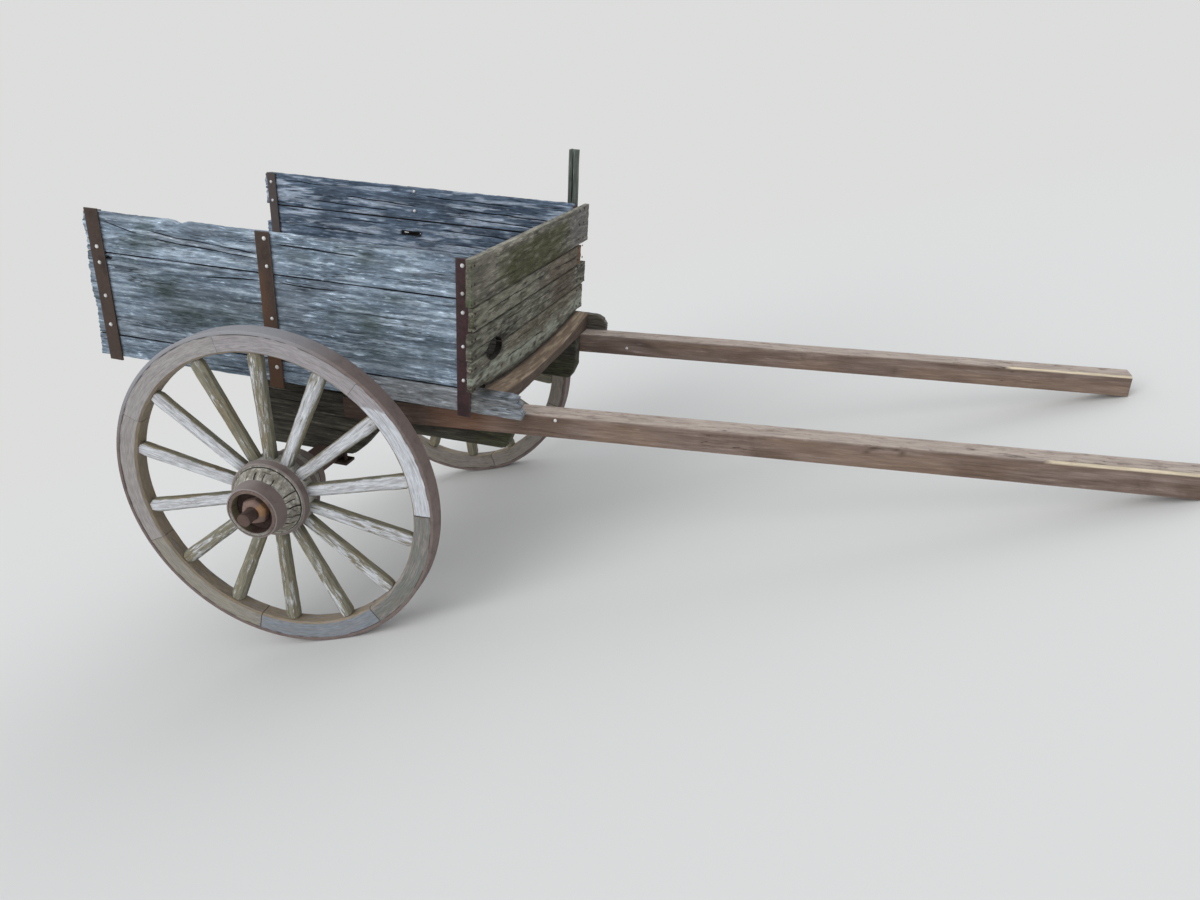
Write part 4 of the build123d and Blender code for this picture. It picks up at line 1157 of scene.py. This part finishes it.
def add_felloes(side_name, side):
    """Curved rim timbers with chamfered inner edges, parted at their joints, each in what is left of its
    coat."""
    sweep = radians(720 / spoke_count)
    long = sweep * felloe_outer
    face = felloe_width / 2 - felloe_chamfer
    skins = []
    for number in range(felloe_count):
        start = radians(wheel_turn[side_name] + (2 * number - 0.5) * 360 / spoke_count)
        p, out, quads = block(lines(0, 1, 0.025, 0.003), lines(0, felloe_depth, 6.3, 3, (felloe_chamfer,)),
                              lines(-felloe_width / 2, felloe_width / 2, 6.2, 3, (-face, face)), 0.003)
        t, y, z = p.T
        seed = 230 + number + 9 * side
        cut = np.clip(felloe_chamfer - y + np.abs(z) - face - felloe_chamfer, 0, None)
        cut *= (y < felloe_chamfer) * (np.abs(z) > face)
        arc = t * sweep * felloe_outer
        wavy = noise(arc / 60, y / 20 + z / 20, seed) * 1.6 + noise(arc / 16, y / 8 + z / 9, seed) * 0.5
        y2 = y + cut / 2 + wavy * (y < felloe_depth / 2)
        z2 = np.sign(z) * (np.abs(z) - cut / 2 - wavy * 0.7 * (np.abs(z) > 20))
        ends = np.array([joint_shown[side_name][n % felloe_count] for n in (number, number + 1)])
        opening = 0.0003 + 0.0012 * ends
        angle = start + opening[0] + t * (sweep - opening.sum())
        from_joint = within(arc, 0, long)
        apart = to_edge(from_joint, within(y, 0, felloe_depth), felloe_width / 2 - np.abs(z))
        joint = np.exp(-from_joint / 1.6) * ends[(t > 0.5).astype(int)]
        flecks = ramp(noise(arc / 22, z / 9, seed), 0.3, 0.6)
        # Painted shade: a dark speckled line along the outer edge, in the crease under the tyre
        shade_under_tyre = ramp(y, felloe_depth - 5, felloe_depth - 1) * flecks * 0.6
        felloe = new_skin(round_axle(np.stack([angle, felloe_inner + y2, z2], 1), side), quads,
                          np.stack([arc, y, z], 1) * mm + number * 1.7 + side,
                          np.maximum(joint, shade_under_tyre), np.exp(-apart / 4) * 0.6, 0.5)
        coat = felloe["coat"]
        coat[:] = colour(felloe_coats[side_name][number])
        coat[:, 3] = felloe_left[side_name][number] * (0.75 + 0.25 * ramp(z, 20, 30))
        coat[y < 4, :3] = colour("#8d7f69")[:3]
        if side < 0 and number == 1:
            # The white coat starts a little past the joint, along a slanting line
            old = np.degrees(angle) + noise(y / 5, z / 9, 3) * 1.2 < 62 + y / felloe_depth * 8
            coat[old] = colour(felloe_coats[side_name][0])
        skins.append(felloe)
    finished(f"{side_name}_felloes", "painted", skins, felloe_finish,
             f"{side_name}_wheel", 35)


def add_tyre(side_name, side):
    """The tyre, paler on top, partly from dust and partly as painted light from above."""
    edges = ((felloe_outer, -1), (wheel_radius, -1), (wheel_radius, 1), (felloe_outer, 1))
    tyre = turned([(radius, end * tyre_width / 2) for radius, end in edges], 170, 200, bevel=2.0)
    # Pale grey laid over the top: partly dust, partly painted light from above
    painted(tyre, "#9c9da2")
    stained(tyre, dust=ramp(np.cos(tyre["p"][:, 0] + 0.1), 0.5, 0.95) * 0.95)
    tyre["p"] = round_axle(tyre["p"], side)
    finished(f"{side_name}_tyre", "worn", [tyre], worn_finish, f"{side_name}_wheel")


def add_nave(side_name, side):
    """The turned nave, whose wood has dried, split along the axle and chipped at the nose band."""
    def cracked(a, r, w, nr):
        on_cone = (w > belt_end) * (w < shoulder_end + 1) * (r > 85)
        place = a / (2 * pi) * 24 + (noise(a * 2.2, 4, side) - 0.5) * 1.4
        place = place + (noise(w / 13, a * 5, 7 + side) - 0.5) * 0.14
        cell = np.floor(place)
        off = np.abs(place - cell - 0.5)
        start = 55 + 30 * noise(cell * 4.3, 0, side) * (noise(cell * 1.9, 5, side) > 0.5)
        gap = np.clip(1 - off / (0.066 + 0.045 * noise(cell * 3.1, 0, 3 + side)), 0, 1) ** 0.7
        gap *= (noise(cell * 7.7, 1, side) > 0.25) * ramp(w, start - 3, start + 3)
        ring = np.clip(1 - np.abs(w - 78 - (noise(cell * 5.3, 0, side) - 0.5) * 24) / 1.8, 0, 1)
        ring *= (noise(cell * 2.7, 2, side) > 0.75) * 0.6
        ring = np.maximum(ring, np.clip(1 - np.abs(w - belt_end - 1.5) / 2, 0, 1))
        chips = ramp(w, 88, 98) * ramp(noise(a * 9, 5, side), 0.45, 0.8) * 5
        crack = np.maximum(gap, ring) * on_cone
        return crack * 4.5 + chips * on_cone + noise(a * 18, w / 11, side) * 1.8 * (nr > 0), crack

    nave = turned([
        (nave_bore, nave_rear), (rear_radius, nave_rear), (rear_radius, rear_band_end), (101, rear_band_end),
        (barrel_radius, -belt_end), (barrel_radius, -belt_edge), (belt_radius, -belt_edge),
        (belt_radius, belt_edge), (barrel_radius, belt_edge), (barrel_radius, belt_end), (124, belt_end),
        (97, shoulder_end), (neck_radius, shoulder_end), (nose_radius, nave_nose),
        (recess_radius, nave_nose), (recess_radius, recess_floor), (nave_bore, recess_floor),
    ], 300, 4.5, relief=cracked, seed=3 + side, tint=0.7)
    a, r, w = nave["p"].T
    in_recess = ramp(-r, -recess_radius - 1.5, -recess_radius)
    nose_rim = ramp(w, nave_nose - 3, nave_nose - 1) * ramp(r, recess_radius, recess_radius + 2)
    chips = ramp(w, 84, 96) * ramp(99.5 - w, 0, 1) * (r > 85) * ramp(noise(a * 14, w / 4, side), 0.4, 0.7)
    rough_rim = ramp(-w, -belt_end - 13, -belt_end - 7) * (w > belt_end + 2)
    rough_rim = rough_rim * ramp(noise(a * 16, w / 3, side + 4), 0.4, 0.65)
    greyed = (w > belt_end) * (w < shoulder_end) * ramp(noise(a * 5, w / 30, 8 + side), 0.5, 0.8)
    for code, share in (
        # Painted shade: the recess is painted dark brown
        ("#43322d", in_recess * (w > recess_floor - 2) * 0.9),
        ("#6f5d56", nose_rim * 0.9),
        # Painted light: the recess wall is painted lighter olive on the side that light reaches
        ("#6c6650", in_recess * (w > recess_floor + 8) * ramp(np.cos(a - 1.25 * side), 0.1, 0.7) * 0.9),
        ("#93908a", nose_rim * ramp(-np.cos(a - 0.7), 0.2, 0.8) * 0.8),
        ("#6b6557", greyed * 0.6),
        ("#c9c6bc", np.maximum(chips * 0.85, rough_rim * 0.6)),
    ):
        painted(nave, code, share)
    stained(nave, rot=ramp(w, 104, 112) * (0.75 + 0.25 * noise(a * 3, w / 9, side)))
    nave["p"] = round_axle(nave["p"], side)
    finished(f"{side_name}_nave", "turned", [nave], nave_finish, f"{side_name}_wheel")


def add_nave_bands(side_name, side):
    """Four bands beaten round the nave: one at its rear, two beside the spokes and one at its nose."""
    def beaten(a, r, w, nr):
        return noise(a * 20, w / 12, side + 4) * 0.8 + noise(a * 55, w / 5, side) * 0.4, 0.0

    bands = []
    for outline in (
        [(rear_radius, nave_rear), (104, nave_rear), (104, rear_band_end), (rear_radius, rear_band_end)],
        [(127, -belt_end), (135, -belt_end), (belt_radius, -belt_edge), (127, -belt_edge)],
        [(127, belt_edge), (belt_radius + 0.5, belt_edge), (135, belt_end), (127, belt_end)],
        [(neck_radius, shoulder_end), (99.4, shoulder_end), (90, nave_nose), (nose_radius, nave_nose)],
    ):
        band = turned(outline, 130, 6, relief=beaten)
        # Paler towards the top and one side: partly dust, partly painted light
        painted(band, "#9c9491")
        stained(band, dust=0.22 + 0.5 * ramp(np.cos(band["p"][:, 0] + 0.35), 0.45, 0.98))
        band["p"] = round_axle(band["p"], side)
        bands.append(band)
    finished(f"{side_name}_nave_bands", "forged", bands, worn_finish, f"{side_name}_wheel")


def add_axle_nut(side_name, side):
    """A six-sided nut with a rounded front, rusted orange on one flat. It stays with the axle."""
    seat, front = recess_floor + 1.5, recess_floor + nut_thickness
    nut = turned([(nut_bore, seat), (nut_radius, seat), (nut_radius, front - 4), (nut_radius - 9, front + 5),
                  (nut_bore, front + 7)], 72, 5, bevel=2)
    a, r, w = nut["p"].T
    flat = (a + pi / 6) % (pi / 3) - pi / 6
    nut["p"][:, 1] = np.where(r > 30, r * (0.35 + 0.65 * cos(pi / 6) / np.cos(flat)), r)
    painted(nut, "#8a7368")
    painted(nut, "#a37e5c", np.abs((a - pi / 2 + pi) % (2 * pi) - pi) < 0.6)
    stained(nut, dust=1)
    nut["p"] = round_axle(nut["p"], side)
    finished(f"{side_name}_axle_nut", "worn", [nut], rust_finish, crease=25)


for side_name, side in sides.items():
    for add_piece in (add_spokes, add_felloes, add_tyre, add_nave, add_nave_bands, add_axle_nut):
        add_piece(side_name, side)

# CAD nodes that stay in sight get their finishes
for node, finish in (("axle", axle_finish), ("right_axle_box", cast_finish), ("left_axle_box", cast_finish),
                     ("right_axle_clip", rust_finish), ("left_axle_clip", rust_finish)):
    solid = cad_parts[node]
    solid.data.materials.clear()
    solid.data.materials.append(finish)


# Bolts and nails

def fixing_tree():
    """Domed heads on points, turned to face outwards, each a little different in size."""
    tree = bpy.data.node_groups.new("domed_fixings", "GeometryNodeTree")
    for name, kind in (("Geometry", "Geometry"), ("Head Radius", "Float"), ("Head Height", "Float"),
                       ("Seed", "Int"), ("Finish", "Material")):
        tree.interface.new_socket(name, in_out="INPUT", socket_type="NodeSocket" + kind)
    tree.interface.new_socket("Geometry", in_out="OUTPUT", socket_type="NodeSocketGeometry")
    given = add(tree, "NodeGroupInput").outputs
    ball = add(tree, "GeometryNodeMeshUVSphere", {"Segments": 12, "Rings": 7, "Radius": 1.0})
    radius = given["Head Radius"]
    size = add(tree, "ShaderNodeCombineXYZ", {0: radius, 1: radius, 2: given["Head Height"]})
    dome = add(tree, "GeometryNodeTransform", {"Geometry": ball.outputs["Mesh"], "Scale": size.outputs[0]})
    way = add(tree, "GeometryNodeInputNamedAttribute", {"Name": "outwards"}, data_type="FLOAT_VECTOR")
    turn = add(tree, "FunctionNodeAlignRotationToVector", {"Vector": way.outputs["Attribute"]}, axis="Z")
    vary = add(tree, "FunctionNodeRandomValue", {2: 0.88, 3: 1.12, "Seed": given["Seed"]}, data_type="FLOAT")
    heads = add(tree, "GeometryNodeInstanceOnPoints", {
        "Points": given["Geometry"], "Instance": dome.outputs[0], "Rotation": turn.outputs[0],
        "Scale": vary.outputs[1]})
    solid = add(tree, "GeometryNodeRealizeInstances", {0: heads.outputs[0]})
    dressed = add(tree, "GeometryNodeSetMaterial",
                  {"Geometry": solid.outputs[0], "Material": given["Finish"]})
    add(tree, "NodeGroupOutput", {0: dressed.outputs[0]})
    return tree


fixings = fixing_tree()


def fix(name, spots, radius, height, finish, seed):
    """One mesh of heads from spots in bed millimetres, each with its direction outwards."""
    places = in_bed(np.array([s[:3] for s in spots], float))
    tips = in_bed(np.array([np.add(s[:3], s[3:]) for s in spots], float))
    base = bpy.data.meshes.new(name + "_spots")
    base.from_pydata(places.tolist(), [], [])
    outwards = base.attributes.new("outwards", "FLOAT_VECTOR", "POINT")
    outwards.data.foreach_set("vector", ((tips - places) * 1000).ravel())
    carrier = placed(name + "_spots", base)
    maker = carrier.modifiers.new("fixings", "NODES")
    maker.node_group = fixings
    given = {"Head Radius": radius * mm, "Head Height": height * mm, "Seed": seed, "Finish": finish}
    for item in fixings.interface.items_tree:
        if item.in_out == "INPUT" and item.name in given:
            maker[item.identifier] = given[item.name]
    shape = bpy.data.meshes.new_from_object(carrier.evaluated_get(bpy.context.evaluated_depsgraph_get()))
    bpy.data.objects.remove(carrier)
    shape.name = name
    shape.shade_smooth()
    piece = placed(name, shape)
    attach(piece, "cart")


bolts = []
for side in sides.values():
    outer_face, inner_face = side * (half_width + strap_thick), side * (half_width - board_thick)
    for x, heights in ((-743, (400, 345, 227, 122)), (-78, (499, 408, 231, 58)),
                       (iron_front(side) - 22, (490, 402, 341, 229, 114))):
        bolts += [(x, outer_face, z, 0, side, 0) for z in heights]
    bolts += [(-66, inner_face, z, 0, -side, 0) for z in (502, 420, 231)]
    bolts += [(-756, inner_face - side * strap_thick, z, 0, -side, 0) for z in (480, 400, 227, 122)]
right_face = -(shaft_outer - (914 - corner_x) * splay)
left_face = shaft_outer - shaft_width - (932 - corner_x) * splay
bolts += [(914, right_face, 3, 0, -1, 0), (932, left_face, -27, 0, -1, 0)]
fix("bolt_heads", bolts, 6.5, 4.2, bolt_finish, 3)

nails = []
for y in (-585, -556, 505, 560):
    for z in (96, 165, 205, 262, 296, 345, 380, 440, 498):
        nails.append((head_rear(y) + head_thick - 0.3, y + rng.uniform(-4, 4), z, 1, 0, 0))
for number in range(floor_count):
    for x in joist_places:
        for share in (0.2, 0.8):
            y = number * (floor_width + floor_gap) - inside + floor_width * share
            nails.append((x + rng.uniform(-8, 8), y, sill_height - 0.8, 0, 0, 1))
fix("nail_heads", nails, 4.2, 1.8, rust_finish, 5)


# Camera, floor and light

camera = placed("camera", bpy.data.cameras.new("camera"))
camera.data.lens = 26.98
camera.data.sensor_width = 36.0
camera.location = (1.04023, -3.0864, 1.40732)
camera.rotation_euler = [radians(a) for a in (70.30068, 15.63096, 16.03895)]
camera.data.clip_end = 100
bpy.context.scene.camera = camera

backdrop = "#dcdddc"


def seen_straight(tree):
    """1 for what the camera, a reflection or a view through glass shows, and 0 for light on the object."""
    rays = add(tree, "ShaderNodeLightPath").outputs
    shown = rays["Is Camera Ray"]
    for other in ("Is Glossy Ray", "Is Transmission Ray"):
        shown = add(tree, "ShaderNodeMath", {0: shown, 1: rays[other]}, operation="MAXIMUM")
    return shown


# The floor fades into the backdrop between 3 and 7 m from the cart's middle
floor_mesh = bpy.data.meshes.new("floor")
floor_mesh.from_pydata([(-30, -30, 0), (30, -30, 0), (30, 30, 0), (-30, 30, 0)], [], [(0, 1, 2, 3)])
floor = placed("floor", floor_mesh)
ground, tree, shader = new_finish("pale_floor")
shader.inputs["Base Color"].default_value = colour("#d6d6d4")
shader.inputs["Roughness"].default_value = 0.9
place = add(tree, "ShaderNodeTexCoord").outputs["Object"]
far = add(tree, "ShaderNodeVectorMath", {0: place}, operation="LENGTH").outputs["Value"]
fade = add(tree, "ShaderNodeMapRange", {0: far, 1: 3.0, 2: 7.0, 3: 0.0, 4: 1.0}, **smooth)
fade = add(tree, "ShaderNodeMath", {0: fade, 1: seen_straight(tree)}, **product)
glow = add(tree, "ShaderNodeEmission", {"Color": colour(backdrop), "Strength": 1.0})
mixed = add(tree, "ShaderNodeMixShader", {0: fade, 1: shader.outputs[0], 2: glow.outputs[0]})
tree.links.new(mixed.outputs[0], tree.nodes["Material Output"].inputs["Surface"])
floor_mesh.materials.append(ground)

world = bpy.data.worlds.new("world")
bpy.context.scene.world = world
world.use_nodes = True
tree = world.node_tree
sky = tree.nodes["Background"]
sky.inputs["Color"].default_value = colour("#eef1f5")
sky.inputs["Strength"].default_value = 0.88
plain = add(tree, "ShaderNodeBackground", {"Color": colour(backdrop), "Strength": 1.0})
mixed = add(tree, "ShaderNodeMixShader", {0: seen_straight(tree), 1: sky.outputs[0], 2: plain.outputs[0]})
tree.links.new(mixed.outputs[0], tree.nodes["World Output"].inputs["Surface"])

for name, place, strength, width in (("key", (-2.4, -4.6, 3.6), 1.15, 50),
                                     ("back", (2.6, 4.4, 3.0), 0.6, 60)):
    lamp = placed(name, bpy.data.lights.new(name, "SUN"))
    lamp.data.energy, lamp.data.angle = strength, radians(width)
    lamp.location = place
    lamp.rotation_euler = (atan2(hypot(place[0], place[1]), place[2]), 0, atan2(place[1], place[0]) + pi / 2)

bpy.context.scene.view_settings.view_transform = "Standard"
